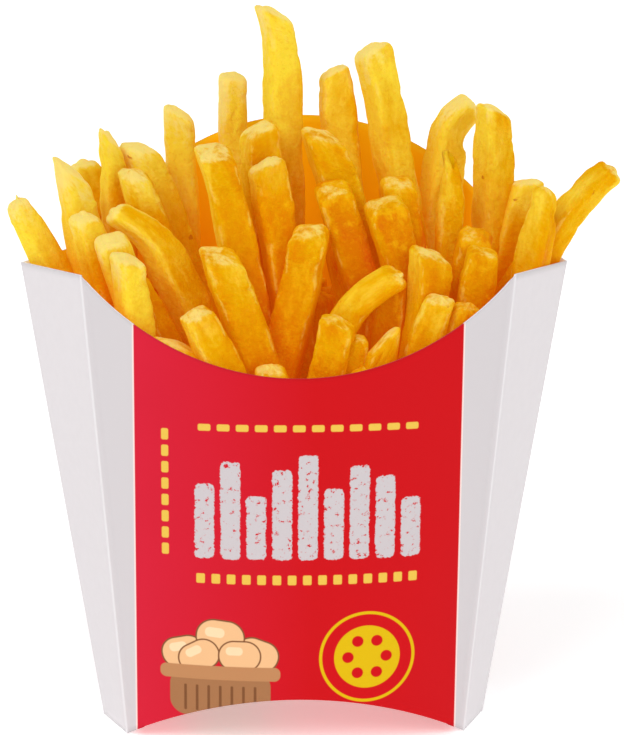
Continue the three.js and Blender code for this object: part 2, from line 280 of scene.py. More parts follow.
@dataclass
class Carton:
    """One folded blank of coated paperboard, open at the top."""

    shape: CartonShape
    panel_cells: int = 56  # columns of faces across a panel
    strip_cells: int = 10  # and across the flat of a strip
    wall_cells: int = 64  # rows of faces up a wall
    bottom_cells: int = 16  # from the front to the back
    crease_round: float = 0.9  # reach of a crease's rounding on either side
    bead_height: float = 0.26  # the board is squeezed up along a crease
    bead_width: float = 0.5
    score_depth: float = 0.1  # and pressed in beside it
    score_place: float = 1.25
    score_width: float = 0.35
    crease_steps: tuple[float, ...] = (0.3, 0.6, 0.9, 1.25, 1.6, 2.0)  # columns beside a crease
    wave_height: float = 0.18  # the board isn't quite even
    wave_length: float = 38.0
    bottom_round: float = 0.5  # how soft the corner along the arch is
    round_steps: int = 3
    soft_angle: float = math.radians(60)  # corners sharper than this are softened
    arch_margin: float = 1.0  # as far up as this over the arch
    weld: float = 0.01  # points that are closer are one

    def stations(self) -> list[float]:
        """Columns across a half, from the left fold to the right one, crowded about the creases.

        Returns:
            Values of across, from -2 to 2.
        """
        half, strip = self.shape.half_at(0), self.shape.strip_length(0)
        near = [step / half for step in self.crease_steps]
        reach = 1 - near[-1]
        panel = [reach * (2 * i / self.panel_cells - 1) for i in range(self.panel_cells + 1)]
        beside = [step / strip for step in self.crease_steps]
        span = (1 + beside[-1], 2 - beside[-1])
        flat = [lerp(*span, i / self.strip_cells) for i in range(self.strip_cells + 1)]
        right = [1 - n for n in reversed(near[:-1])] + [1.0] + [1 + b for b in beside[:-1]] + flat
        right += [2 - b for b in reversed(beside[:-1])] + [2.0]
        return [-c for c in reversed(right)] + panel + right

    def point(self, across: float, z: float, side: Side) -> Vector:
        """A point of the board's outside, with its creases rounded and scored.

        Args:
            across: -1 to 1 on the panel, and on to -2 and 2 over the strips beside it.
            z: its height.
            side: the half that it is on.

        Returns:
            The point.
        """
        shape = self.shape
        half, strip = shape.half_at(z), shape.strip_length(z)
        hand, place = math.copysign(1, across), abs(across)
        here = shape.plan(place, z)
        offset = (place - 1) * (half if place < 1 else strip)
        before_fold = (2 - place) * strip
        if abs(offset) < self.crease_round:
            before = shape.plan(1 - self.crease_round / half, z)
            after = shape.plan(1 + self.crease_round / strip, z)
            here = self.rounded(before, shape.plan(1, z), after, (offset / self.crease_round + 1) / 2)
        elif before_fold < self.crease_round:
            before = shape.plan(2 - self.crease_round / strip, z)
            after = Vector((before.x, -before.y))
            share = (1 - before_fold / self.crease_round) / 2
            here = self.rounded(before, shape.plan(2, z), after, share)
        outward = self.outward(place, z)
        near = min(abs(offset), before_fold)
        score = math.exp(-((near - self.score_place) / self.score_width) ** 2)
        relief = self.bead_height * math.exp(-(near / self.bead_width) ** 2) - self.score_depth * score
        wave = noise.noise(Vector((hand * here.x, side.value * here.y, z)) / self.wave_length)
        here = here + outward * (relief + self.wave_height * wave * min(1, near / self.score_place))
        return Vector((hand * here.x, side.value * here.y, z))

    def outward(self, place: float, z: float) -> Vector:
        """Level direction out of the board.

        Args:
            place: 0 in the middle of a panel, 1 on its crease and 2 on the outer fold.
            z: the height.

        Returns:
            A unit vector, as it is on the right of the back half.
        """
        shape = self.shape
        half, crease = shape.half_at(z), shape.crease_at(z)
        panel = Vector((2 * shape.bulge * min(place, 1) / half, 1)).normalized()
        strip = Vector((crease, shape.fold_at(z) - half)).normalized()
        if place <= 1:
            return panel
        share = smooth_step(0, self.score_place / shape.strip_length(z), place - 1)
        to_fold = smooth_step(2 - self.score_place / shape.strip_length(z), 2, place)
        return panel.lerp(strip, share).lerp(Vector((1, 0)), to_fold).normalized()

    @staticmethod
    def rounded(before: Vector, corner: Vector, after: Vector, share: float) -> Vector:
        """A point of the soft bend that cuts a corner, from before to after it."""
        return before.lerp(corner, share).lerp(corner.lerp(after, share), share)

    def settle(self, across: float, side: Side) -> float:
        """Height at which a slanting column meets the rim.

        Args:
            across: the column, -2 to 2.
            side: the half that it is on.

        Returns:
            The height.
        """
        shape = self.shape
        rim = shape.front_rim if side is Side.FRONT else shape.back_rim
        z = shape.corner_height
        panel_place = max(-1.0, min(1.0, across))
        for _ in range(shape.settle_rounds):
            z = rim(panel_place * shape.half_at(z))
        return lerp(z, shape.fold_height, max(0.0, abs(across) - 1))

    def low(self, across: float) -> float:
        """Height of the board's lower edge at a column."""
        return self.shape.bottom_at(across * self.shape.panel_half_bottom) if abs(across) < 1 else 0.0

    def wall(self, bm: bmesh.types.BMesh, side: Side) -> None:
        """Adds the wall of one half.

        Args:
            bm: the mesh that it joins.
            side: the half.
        """
        places = self.stations()
        cells = len(places) - 1
        grid = bmesh.ops.create_grid(bm, x_segments=cells, y_segments=self.wall_cells, size=1)
        for vert in grid["verts"]:
            across = places[round((vert.co.x + 1) / 2 * cells)]
            z = lerp(self.low(across), self.settle(across, side), (vert.co.y + 1) / 2)
            vert.co = self.point(across, z, side)

    def bottom(self, bm: bmesh.types.BMesh) -> None:
        """Adds the pushed-in bottom between the lower edges of the two walls.

        Args:
            bm: the mesh that it joins.
        """
        places = self.stations()
        cells = len(places) - 1
        grid = bmesh.ops.create_grid(bm, x_segments=cells, y_segments=self.bottom_cells, size=1)
        for vert in grid["verts"]:
            across = places[round((vert.co.x + 1) / 2 * cells)]
            front = self.point(across, self.low(across), Side.FRONT)
            back = self.point(across, self.low(across), Side.BACK)
            vert.co = front.lerp(back, (vert.co.y + 1) / 2)

    def build(self) -> bpy.types.Object:
        """Builds the board with its thickness.

        Returns:
            The finished object.
        """
        bm = bmesh.new()
        self.wall(bm, Side.FRONT)
        self.wall(bm, Side.BACK)
        self.bottom(bm)
        bmesh.ops.remove_doubles(bm, verts=bm.verts, dist=self.weld)
        bmesh.ops.recalc_face_normals(bm, faces=bm.faces)
        # The corners along the arch are soft; the feet, with their close columns, stay crisp.
        inside = self.shape.panel_half_bottom - 2 * self.crease_steps[-1]
        above_arch = self.shape.arch_height + self.arch_margin
        corners = [
            edge for edge in bm.edges
            if len(edge.link_faces) == 2 and edge.calc_face_angle() > self.soft_angle
            and max(vert.co.z for vert in edge.verts) < above_arch
            and max(abs(vert.co.x) for vert in edge.verts) < inside
        ]
        bmesh.ops.bevel(bm, geom=corners, offset=self.bottom_round, segments=self.round_steps,
                        profile=0.5, affect="EDGES", material=-1)
        bmesh.ops.recalc_face_normals(bm, faces=bm.faces)
        under = min(bm.faces, key=lambda face: face.calc_center_median().z)
        if under.normal.z > 0:
            bmesh.ops.reverse_faces(bm, faces=bm.faces)
        board = finished("carton_board", bm)
        shell = board.modifiers.new("board_thickness", "SOLIDIFY")
        shell.thickness = self.shape.board * METRE
        shell.offset = -1
        shell.use_even_offset = True
        shell.material_offset = BoardFace.INSIDE.value
        shell.material_offset_rim = BoardFace.CUT_EDGE.value
        return board


# ---- The fries ----


@dataclass(frozen=True)
class Fry:
    """Driving sizes of one fry: where its tip is, how it leans, and how it is cut."""

    tip: Vector
    lean: float  # to the right, degrees
    recline: float  # to the back, degrees
    side: float
    turn: float  # about its own length, degrees
    hook: float  # of its upper end to the right
    cut_right: float  # slope of the cut end, degrees
    cut_front: float
    tip_share: float  # width left at the tip
    upper_end: float = 7.0  # length that bends and narrows
    foot_z: float = 58.0

    @property
    def heading(self) -> Vector:
        """Unit vector along the straight part, towards the tip."""
        right, back = math.tan(math.radians(self.lean)), math.tan(math.radians(self.recline))
        return Vector((right, back, 1)).normalized()

    @property
    def length(self) -> float:
        """Length from the foot to the tip."""
        return (self.tip.z - self.foot_z) / self.heading.z

    def upper_share(self, along: float) -> float:
        """How far into the upper end a distance along the fry lies, 0 to 1."""
        return max(0.0, along - (self.length - self.upper_end)) / self.upper_end

    def middle(self, along: float) -> Vector:
        """Middle of the fry.

        Args:
            along: distance along it from its foot.

        Returns:
            The point there, on a line that bends in the upper end.
        """
        bend = self.upper_share(along)
        point = self.tip + self.heading * (along - self.length)
        point.x += self.hook * (bend ** 3 - 1)
        return point

    def middle_at_height(self, z: float) -> Vector | None:
        """Middle of the fry at a height.

        Args:
            z: the height.

        Returns:
            The point there, or None above the tip.
        """
        if z > self.tip.z:
            return None
        return self.middle(max(0.0, (z - self.foot_z) / self.heading.z))


# Fries placed one by one. Each row: tip x, y, z; lean to the right and to the back, degrees; side; turn;
# hook; slope of the cut end to the right and to the front, degrees; width left at the tip, as a share;
# length of the upper end, which bends and narrows.
FRONT_ROWS = (
    (-31.5, -27.5, 106.2, -31, -5, 8.6, 10, 0, -19, 10, 0.9, 7),
    (-26, -29, 114.3, -28, -5, 9.2, 20, 0, 22, 19, 0.85, 9),
    (-7.5, -31, 100.5, -14, -5, 8.4, 0, 0, 5, 19, 0.9, 7),
    (9.8, -29, 112.4, 13, -5, 9.2, -16, -1.2, -19, 10, 0.95, 28),
    (16, -31, 100.5, 6, -5, 7, 0, 0, 0, 0, 0.85, 7),
    (21.8, -28.5, 108.2, 12, -5, 8.4, 15, 0, 42, 10, 0.8, 13),
    (36, -26, 117.4, 17, -5, 8.6, -10, 0, -8, 15, 0.9, 7),
    (43.6, -23.5, 115, 19, -5, 8.4, 12, 0, -15, 15, 0.95, 7),
    (-43.2, -25, 128.2, -4, -5, 9, 32, -0.6, -19, 12, 0.85, 28),
    (-19.8, -22, 128.2, -19.5, -2, 9.8, 10, 0, -8, 25, 0.95, 7),
    (-47.6, -16, 131.8, -16, -2, 9.2, 6, 0, 8, 23, 0.95, 7),
    (26, -20, 122.8, 14.5, 0, 9.4, -10, 12.2, -45, 10, 0.8, 22),
    (34.3, -17, 127.8, 6.5, 0, 9.8, 22, -0.6, -23, 10, 0.95, 28),
    (47.9, -15.5, 128.2, 8.5, -1, 8.8, 0, 0, -12, 15, 0.9, 7),
)
MIDDLE_ROWS = (
    (3.6, -13, 133.2, 14.5, 0, 10.2, -12, -0.8, 4, 21, 0.95, 28),
    (-54.6, -8, 136.4, -15.5, -1, 8.4, 28, 0, 0, 12, 0.9, 7),
    (-47.2, -7.5, 137.6, -27, 0, 9.6, 38, -6.8, 45, 5, 0.66, 16),
    (-21.2, -8, 152.8, -12.5, 2, 9.2, 10, -1, 0, 27, 0.98, 28),
    (22.8, -8, 139.7, -14, 1, 9.6, 12, 0, 12, 21, 1.05, 14),
    (47, -5.5, 130.8, 9, 1, 9.4, 0, 0, -8, 25, 0.92, 7),
    (64.5, -9, 143.6, 12.5, -1, 8, 62, -0.4, -25, 5, 0.75, 14),
    (-7.8, -4, 149.6, -9, 1, 9.4, 15, 0, 23, 10, 0.98, 7),
    (9.5, -4, 142.9, -17.5, 1, 9.2, 6, 0, 14, 28, 0.98, 7),
    (-72.2, 1, 139.6, -28, 0, 7.3, 45, 1.2, 21, 10, 0.8, 14),
    (-58.4, 3, 147.3, -11, 2, 8.6, 30, 0, -38, 5, 0.85, 12),
    (-42.4, 4.5, 145.8, -20.5, 2, 8.4, 8, 0, -5, 21, 0.85, 7),
    (27.1, 4, 143.4, -8.5, 3, 9, 4, 0, 0, 23, 0.95, 7),
    (39.9, 4.5, 151.8, 4, 3, 6.6, 12, -2, -19, 10, 0.5, 14),
    (83, 0.5, 146.9, 30, 0, 8.6, 30, 5.4, -44, 10, 0.8, 26),
)
BACK_ROWS = (
    (-9.4, 7.5, 157.2, -4.5, 4, 9.4, 20, 0, 21, 15, 0.98, 7),
    (7.2, 7.5, 155.4, -19.5, 3, 10, 6, 0, -14, 15, 0.95, 7),
    (62.1, 13, 142.4, 15.5, 5, 8, 10, 0, 5, 5, 0.95, 7),
    (-48.5, 14, 154.4, -6, 6, 7.6, 30, 0, -45, 5, 0.7, 16),
    (-41.3, 17, 151.6, -20, 5, 9.6, 26, 0, -8, 8, 0.92, 9),
    (53.3, 17, 161.3, 0, 5, 9, 30, 0, -24, 0, 0.9, 8),
    (-55.8, 24.5, 146, -18, 6, 8.8, 5, 0, 10, 5, 0.95, 7),
    (-5.5, 20.5, 187, -1, 4, 9.2, 16, -2, -22, 0, 0.85, 20),
    (20.9, 23.5, 177.2, -9, 6, 9.2, 26, -1, 24, 5, 0.98, 28),
    (11.1, 26.5, 170.7, -6.5, 6, 9.6, 6, 0, 24, 5, 0.85, 9),
    (-30.5, 28.5, 159.7, -3, 4, 8, -8, 0, -28, 5, 0.95, 7),
    (49, 30, 160.7, 9, 3, 9.4, 30, 5.4, -62, 0, 0.88, 11),
    (-15.8, 32.5, 168.9, -1, 6, 7.4, 14, 0, -2, 5, 1, 7),
)
BACKING_ROWS = (
    (-42.6, -15, 121.5, -24, -2, 8.6, 15, 0, 10, 19, 0.9, 7),
    (10.8, 3, 131.9, -12, 1, 8.6, 10, 0, 10, 19, 0.9, 7),
    (13.3, 0, 127, -15, 0, 8, -10, 0, 0, 19, 0.9, 7),
    (20.8, -12, 118, 3, -2, 8, 10, 0, 10, 19, 0.9, 7),
    (25, -14, 120.4, 7, -2, 8, -15, 0, -10, 19, 0.9, 7),
    (14.7, -26, 107.4, 9, -4, 7.6, 10, 0, 0, 15, 0.9, 7),
    (31.5, 6, 127.5, 5, 2, 8.4, 20, 0, -12, 15, 0.9, 7),
)

# Tone of each fry of those tables: pale lemon below 0, golden at 0.4, deep orange at 0.9.
FRONT_TONES = (0.3, 0.3, 0.35, 0.5, 0.5, 0.45, 0.45, 0.5, 0.05, 0.5, 0.1, 0.4, 0.38, 0.58)
MIDDLE_TONES = (0.4, 0.1, 0.05, 0.42, 0.65, 0.54, 0.48, 0.4, 0.72, -0.02, -0.2, 0.2, 0.5, 0.42, 0.5)
BACK_TONES = (0.35, 0.35, 0.08, 0.05, 0.0, 0.15, 0.2, 0.05, 0.1, -0.05, -0.3, -0.1, -0.5)
BACKING_TONES = (0.4, 0.5, 0.55, 0.6, 0.6, 0.5, 0.55)


def fries_from(rows: tuple[tuple[float, ...], ...]) -> list[Fry]:
    """The fries of a table's rows."""
    return [Fry(Vector(row[:3]), *row[3:]) for row in rows]


@dataclass
class ShortFries:
    """The rule that puts shorter fries between the placed ones, fanned out from the middle."""

    shape: CartonShape
    seed: int = 70
    base_z: float = 90.0  # height at which they are laid out on a jittered grid
    pitch: tuple[float, float] = (4.6, 4.2)  # of the grid, across and to the back
    columns: int = 13  # either side of the middle
    rows: int = 8
    jitter: float = 1.6
    lean: float = 0.36  # degrees for each millimetre off the middle
    lean_spread: float = 6.0
    recline: float = 0.14
    recline_spread: float = 5.0
    top: float = 107.0  # height of their tips in the middle
    top_back: float = 0.28  # and how much higher for each millimetre to the back
    top_out: float = 0.12  # or to a side
    top_spread: float = 7.0
    side: tuple[float, float] = (7.0, 8.6)  # thinnest and thickest
    turn: float = 40.0  # degrees either way
    cut: float = 25.0  # steepest slope of a cut end, degrees
    tip_share: float = 0.9
    apart: float = 7.2  # least distance between two fries' middles
    wall: float = 4.8  # and from a middle to the board
    levels: tuple[float, ...] = (84, 92, 100, 108, 116)  # heights at which that is looked at
    random_factor: int = 1664525
    random_step: int = 1013904223
    random_range: int = 2 ** 32

    def between(self, low: float, high: float) -> float:
        """The next repeatable random number from low to high."""
        self.seed = (self.seed * self.random_factor + self.random_step) % self.random_range
        return lerp(low, high, self.seed / self.random_range)

    def around(self, middle: float, spread: float) -> float:
        """The next repeatable random number about a middle."""
        return self.between(middle - spread, middle + spread)

    def fits(self, fry: Fry, others: list[Fry]) -> bool:
        """Whether a fry keeps its distance from the board and from the other fries.

        Args:
            fry: the fry to try.
            others: those that are there already.

        Returns:
            True where it does.
        """
        for z in self.levels:
            here = fry.middle_at_height(z)
            if here is None:
                continue
            if self.shape.gap(here)[0] < self.wall:
                return False
            for other in others:
                there = other.middle_at_height(z)
                if there is not None and math.hypot(there.x - here.x, there.y - here.y) <= self.apart:
                    return False
        return True

    def fries(self, placed: list[Fry]) -> list[Fry]:
        """The short fries that fit between the placed ones.

        Args:
            placed: the fries that are there already.

        Returns:
            The short fries alone.
        """
        found = list(placed)
        for row in range(self.rows, -self.rows - 1, -1):
            for column in range(-self.columns, self.columns + 1):
                x = self.around((column + (row & 1) / 2) * self.pitch[0], self.jitter)
                y = self.around(row * self.pitch[1], self.jitter)
                lean = self.around(x * self.lean, self.lean_spread)
                recline = self.around(y * self.recline, self.recline_spread)
                top = self.around(self.top + y * self.top_back + abs(x) * self.top_out, self.top_spread)
                rise = top - self.base_z
                tip = Vector((x + rise * math.tan(math.radians(lean)),
                              y + rise * math.tan(math.radians(recline)), top))
                side = self.between(*self.side)
                turn = self.around(0, self.turn)
                cut_right = self.around(0, self.cut)
                cut_front = self.between(0, self.cut)
                fry = Fry(tip, lean, recline, side, turn, 0, cut_right, cut_front, self.tip_share)
                if self.fits(fry, found):
                    found.append(fry)
        return found[len(placed):]


FLOAT_LAYERS = ("tone", "edge", "end", "crust", "deep")
DIRECT_SHARE = 0.5  # what the neighbour straight ahead adds to a point's depth
MEAN_SHARE = 0.8  # and what all the neighbours add


@dataclass
class Crowd:
    """How closely other fries stand about a point, which drives the crust's painted shade and painted glow
    there.
    """

    fries: list[Fry]
    sectors: int = 12  # directions that are told apart
    near: float = 9.0  # a fry at this distance shuts its direction
    far: float = 27.0  # and at this one it no longer counts
    below_tip: float = 20.0  # a fry counts in full from this far below its tip

    def about(self, fry: Fry, centre: Vector) -> list[float]:
        """Closeness of the others about the middle of a fry.

        Args:
            fry: the fry itself, which doesn't count.
            centre: its middle at some height.

        Returns:
            For each direction round it, 0 where it is open to 1 where another fry stands next to it.
        """
        closeness = [0.0] * self.sectors
        for other in self.fries:
            there = other.middle_at_height(centre.z) if other is not fry else None
            if there is None:
                continue
            x, y = there.x - centre.x, there.y - centre.y
            away = math.hypot(x, y)
            if away > self.far:
                continue
            value = 1 - smooth_step(self.near, self.far, away)
            value *= smooth_step(0, self.below_tip, other.tip.z - centre.z)
            angle = math.atan2(y, x)
            for sector in range(self.sectors):
                facing = max(0.0, math.cos(angle - sector * 2 * math.pi / self.sectors))
                closeness[sector] = max(closeness[sector], value * facing ** 2)
        return closeness

    @staticmethod
    def depth(closeness: list[float], outward: Vector) -> float:
        """How deep among its neighbours a point of a fry's skin lies.

        Args:
            closeness: the values round the fry's middle there.
            outward: the skin's outward direction.

        Returns:
            0 where it is open to 1 where it is shut in.
        """
        place = math.atan2(outward.y, outward.x) / (2 * math.pi) * len(closeness)
        first = math.floor(place)
        here, after = closeness[first % len(closeness)], closeness[(first + 1) % len(closeness)]
        value = lerp(here, after, place - first)
        level = math.hypot(outward.x, outward.y)
        return min(1.0, DIRECT_SHARE * value * level + MEAN_SHARE * sum(closeness) / len(closeness))


@dataclass(frozen=True)
class Skin:
    """What all points of one fry's skin have in common."""

    fry: Fry
    own: Vector  # its place in every noise, so that no two fries are alike
    tone: float
    cut: Vector  # unit vector out of the cut end
    layers: dict[str, object]  # the mesh's layers that the crust's finish reads


@dataclass(frozen=True)
class Ring:
    """What the points of one ring round a fry have in common."""

    along: float  # distance from the foot
    centre: Vector
    axis: Vector  # unit vector along the fry
    turned: Matrix  # turns the level section to the fry's lean and turn
    half: tuple[float, float]  # half width and half depth
    rounds: list[float]  # radius of each corner
    sinks: list[float]  # how hollow each side is
    closeness: list[float]  # of the fries about it, direction by direction


@dataclass
class FryMaker:
    """Makes the skin of single fries: soft-cornered sticks with a blistered, crackled crust.

    Where a pair describes bumps, it holds their height and their width. Whole numbers that are added to a
    place in the noise only keep one pattern from another.
    """

    shape: CartonShape
    flat_steps: int = 7  # faces across one side of the section
    corner_steps: int = 4  # and round one corner
    ring_step: float = 0.85  # distance between rings where the fry shows
    deep_step: float = 2.4  # and deep in the carton
    deep_z: float = 84.0
    cap_steps: int = 5  # rings on the cut end
    rim_steps: int = 4  # and round its edge
    weld: float = 0.004  # points that are closer are one
    own_stride: tuple[float, float, float] = (37.1, 17.3, 5.7)  # from one fry's noise to the next one's
    grain_stride: float = 10.0
    axis_step: float = 1.0
    width_spread: float = 0.1
    width_wave: float = 16.0
    depth_wave: float = 14.0
    bow: float = 1.8  # how far its middle strays from a straight line
    twist: float = 8.0
    twist_wave: float = 45.0
    corner_round: float = 2.05
    corner_swell: tuple[float, float] = (0.55, 9.0)  # slow changes of a corner's roundness
    corner_chips: tuple[float, float] = (0.9, 3.5)  # and short ones, where it is chipped
    sink: float = 0.2
    sink_wave: float = 25.0
    edge_foot: float = 0.6  # nearness to a corner where its round meets a flat side
    edge_fall: float = 6.0  # and how fast it falls from there, per width of the side
    rim_round: float = 1.9
    rim_spread: tuple[float, float] = (0.6, 0.5)  # how that varies from fry to fry, and about one end
    rim_wave: float = 0.9
    dome: tuple[float, float] = (0.7, 1.0)  # how far a cut end swells, and how much that varies
    dome_place: float = 2.2
    steepest_cut: float = 1.6  # most that a cut end's corner is off its middle, as a share of the side
    cut_reach: tuple[float, float] = (1.5, 1.8)  # how far down rings slant, in sides and in slides
    bump: tuple[float, float] = (0.22, 7.0)
    grit: tuple[float, float] = (0.11, 2.2)
    end_grit: float = 1.6  # a cut end is that much rougher
    blister: tuple[float, float] = (0.46, 2.6)
    crust_wave: float = 15.0  # distance from one blistered stretch to the next
    crust_range: tuple[float, float] = (0.08, 0.42)  # where blisters begin and are in full
    pale_tip: float = 0.3  # how pale the sides are next to the cut end
    pale_reach: float = 12.0
    side_tone: float = 0.3  # how unevenly its sides are fried
    side_stride: float = 3.1
    tone_wave: float = 30.0
    painted_left_light: float = -0.35  # painted light: sides turned to the left, where the key light falls, are painted paler by this much
    clearance: float = 0.3
    rim_fade: float = 3.0

    def stations(self, fry: Fry) -> list[float]:
        """Distances along a fry at which its rings lie.

        Args:
            fry: its driving sizes.

        Returns:
            The distances, from foot to tip.
        """
        reach = min(max((self.deep_z - fry.foot_z) / fry.heading.z, 0.0), fry.length)
        deep = max(1, round(reach / self.deep_step))
        shown = max(1, round((fry.length - reach) / self.ring_step))
        below = [reach * i / deep for i in range(deep)]
        return below + [lerp(reach, fry.length, i / shown) for i in range(shown + 1)]

    def add(self, bm: bmesh.types.BMesh, fry: Fry, number: int, tone: float, crowd: Crowd) -> None:
        """Adds one fry to a mesh.

        Args:
            bm: the mesh.
            fry: its driving sizes.
            number: seeds its own unevenness.
            tone: its colour, from 0 for pale lemon to 1 for deep orange.
            crowd: the fries about it.
        """
        alongs = self.stations(fry)
        around = 4 * (self.flat_steps + self.corner_steps)
        walls = len(alongs)
        # The foot's pole, the walls' rings, and the end's rings up to its pole.
        rows = 1 + walls + self.rim_steps + self.cap_steps
        own = Vector([number * stride for stride in self.own_stride])
        cut = Vector((-math.tan(math.radians(fry.cut_right)), -math.tan(math.radians(fry.cut_front)), 1))
        skin = Skin(fry, own, tone, cut.normalized(), self.layers(bm))
        grid = bmesh.ops.create_grid(bm, x_segments=around, y_segments=rows - 1, size=1)
        rings: dict[int, list[bmesh.types.BMVert]] = {}
        for vert in grid["verts"]:
            rings.setdefault(round((vert.co.y + 1) / 2 * (rows - 1)), []).append(vert)
        for row, verts in rings.items():
            ring = self.ring(skin, alongs[min(max(row - 1, 0), walls - 1)], crowd)
            for vert in verts:
                step = round((vert.co.x + 1) / 2 * around) % around
                self.place(vert, skin, ring, step, row, max(0, row - walls))
        bmesh.ops.remove_doubles(bm, verts=grid["verts"], dist=self.weld)

    @staticmethod
    def layers(bm: bmesh.types.BMesh) -> dict[str, object]:
        """The layers that the crust's finish reads.

        Args:
            bm: the mesh, which gets those that it hasn't yet.

        Returns:
            The layers by name.
        """
        floats, vectors = bm.verts.layers.float, bm.verts.layers.float_vector
        made = {name: floats.get(name) or floats.new(name) for name in FLOAT_LAYERS}
        made["grain"] = vectors.get("grain") or vectors.new("grain")
        return made

    def ring(self, skin: Skin, along: float, crowd: Crowd) -> Ring:
        """The ring at a distance along a fry.

        Args:
            skin: the fry's own values.
            along: distance from its foot.
            crowd: the fries about it.

        Returns:
            The ring's common values.
        """
        fry, own = skin.fry, skin.own
        middle = fry.middle(along)
        axis = (middle - fry.middle(along - self.axis_step)).normalized()
        share = along / fry.length
        bend = math.sin(math.pi * share) * self.bow
        centre = middle + Vector((bend * noise.noise(own), bend * noise.noise(own + UP), 0))
        width = 1 + self.width_spread * noise.noise(own + Vector((0, 0, along / self.width_wave)))
        depth = 1 + self.width_spread * noise.noise(own + Vector((9, 0, along / self.depth_wave)))
        scale = lerp(1, fry.tip_share, fry.upper_share(along)) * fry.side / 2
        twist = self.twist * noise.noise(own + Vector((0, 5, along / self.twist_wave)))
        rounds, sinks = [], []
        for corner in range(4):
            swell = noise.noise(own + Vector((corner * 7, 3, along / self.corner_swell[1])))
            chips = max(0.0, noise.noise(own + Vector((corner * 5, 8, along / self.corner_chips[1]))))
            uneven = 1 + self.corner_swell[0] * swell + self.corner_chips[0] * chips
            rounds.append(self.corner_round * uneven)
            hollow = noise.noise(own + Vector((0, corner * 4, along / self.sink_wave)))
            sinks.append(self.sink * (0.5 + hollow))
        turn = Matrix.Rotation(math.radians(fry.turn + twist), 3, "Z")
        turned = UP.rotation_difference(axis).to_matrix() @ turn
        half = (scale * width, scale * depth)
        return Ring(along, centre, axis, turned, half, rounds, sinks, crowd.about(fry, centre))

    def section(self, ring: Ring, step: int) -> tuple[Vector, Vector, float]:
        """A point of the ring's soft-cornered square.

        Args:
            ring: the ring's common values.
            step: which of its points.

        Returns:
            The point, its outward normal, and how near it is to a corner, 0 to 1.
        """
        quarter, place = divmod(step, self.flat_steps + self.corner_steps)
        half_out, half_along = ring.half if quarter % 2 == 0 else ring.half[::-1]
        start, end = ring.rounds[quarter - 1], ring.rounds[quarter]
        if place <= self.flat_steps:
            share = place / self.flat_steps
            y = lerp(-(half_along - start), half_along - end, share)
            hollow = 1 - (2 * share - 1) ** 2
            point = Vector((half_out - ring.sinks[quarter] * hollow, y, 0))
            normal = Vector((1, 0, 0))
            edge = max(0.0, 1 - min(share, 1 - share) * self.edge_fall) * self.edge_foot
        else:
            angle = (place - self.flat_steps) / self.corner_steps * math.pi / 2
            normal = Vector((math.cos(angle), math.sin(angle), 0))
            point = Vector((half_out - end, half_along - end, 0)) + normal * end
            edge = 1 - (1 - self.edge_foot) * abs(angle / (math.pi / 4) - 1)
        turned = Matrix.Rotation(quarter * math.pi / 2, 3, "Z")
        return turned @ point, turned @ normal, edge

    def cap(self, level: int, half: float, rim_round: float, own: Vector) -> tuple[float, float, float]:
        """Form of the cut end, with its soft edge, at one of its rings.

        Args:
            level: 1 for the ring next to the walls, growing to the pole.
            half: half of the fry's thinner side.
            rim_round: radius of the soft edge.
            own: the fry's own place in the noise.

        Returns:
            How far the ring is drawn in and how far back, and how much it is turned to the end, 0 to 1.
        """
        if level <= self.rim_steps:
            angle = level / self.rim_steps * math.pi / 2
            return rim_round * (1 - math.cos(angle)), rim_round * (1 - math.sin(angle)), math.sin(angle)
        share = (level - self.rim_steps) / self.cap_steps
        swell = self.dome[0] + self.dome[1] * noise.noise(own + UP * self.dome_place)
        return lerp(rim_round, half, share), -swell * (1 - (1 - share) ** 2), 1.0

    def place(self, vert: bmesh.types.BMVert, skin: Skin, ring: Ring, step: int, row: int, cap: int) -> None:
        """Moves a grid point to its place on the fry and writes what the crust's finish reads there.

        Args:
            vert: the point.
            skin: the fry's own values.
            ring: its ring's common values.
            step: its place round the ring.
            row: its row, 0 for the foot's pole.
            cap: its level on the cut end, 0 on the walls.
        """
        fry, own, layers, along = skin.fry, skin.own, skin.layers, ring.along
        point, normal, edge = self.section(ring, step)
        half = min(ring.half)
        from_fry, about_end = noise.noise(own), noise.noise(own + normal * self.rim_wave)
        rim_round = self.rim_round * (1 + self.rim_spread[0] * from_fry + self.rim_spread[1] * about_end)
        end = 0.0
        if row == 0:
            point = point * 0.0
        if cap:
            inset, retreat, end = self.cap(cap, half, rim_round, own)
            edge *= 1 - end
            point = point * max(0.0, 1 - inset / half)
        local = ring.turned @ point
        outward = ring.turned @ normal
        # The end's points slide along the axis onto the plane of the cut, and less so further down.
        most = self.steepest_cut * fry.side
        slide = min(max(-local.dot(skin.cut) / ring.axis.dot(skin.cut), -most), most)
        reach = max(self.cut_reach[0] * fry.side, self.cut_reach[1] * abs(slide))
        near = smooth_step(fry.length - reach, fry.length, along)
        if cap:
            outward = outward.lerp(skin.cut, end).normalized()
        else:
            retreat = rim_round * near
        local = local + ring.axis * (slide * near)
        local = local - ring.axis * retreat
        grain = Vector((point.x, point.y, along - retreat)) + own * self.grain_stride
        end = max(end, self.pale_tip * smooth_step(fry.length - self.pale_reach, fry.length, along))
        relief, crust = self.relief(grain, end)
        vert.co = self.kept_inside(ring.centre + local + outward * (relief if row else 0.0))
        quarter = step // (self.flat_steps + self.corner_steps)
        side = noise.noise(own + Vector((quarter * self.side_stride, 6, along / self.tone_wave)))
        # Painted light: the sides turned to the left are painted paler, as if lit by the key light.
        left = max(0.0, -outward.x)
        vert[layers["tone"]] = skin.tone + self.side_tone * side + self.painted_left_light * left
        vert[layers["edge"]] = edge
        vert[layers["end"]] = end
        vert[layers["crust"]] = crust
        vert[layers["deep"]] = Crowd.depth(ring.closeness, outward)
        vert[layers["grain"]] = grain

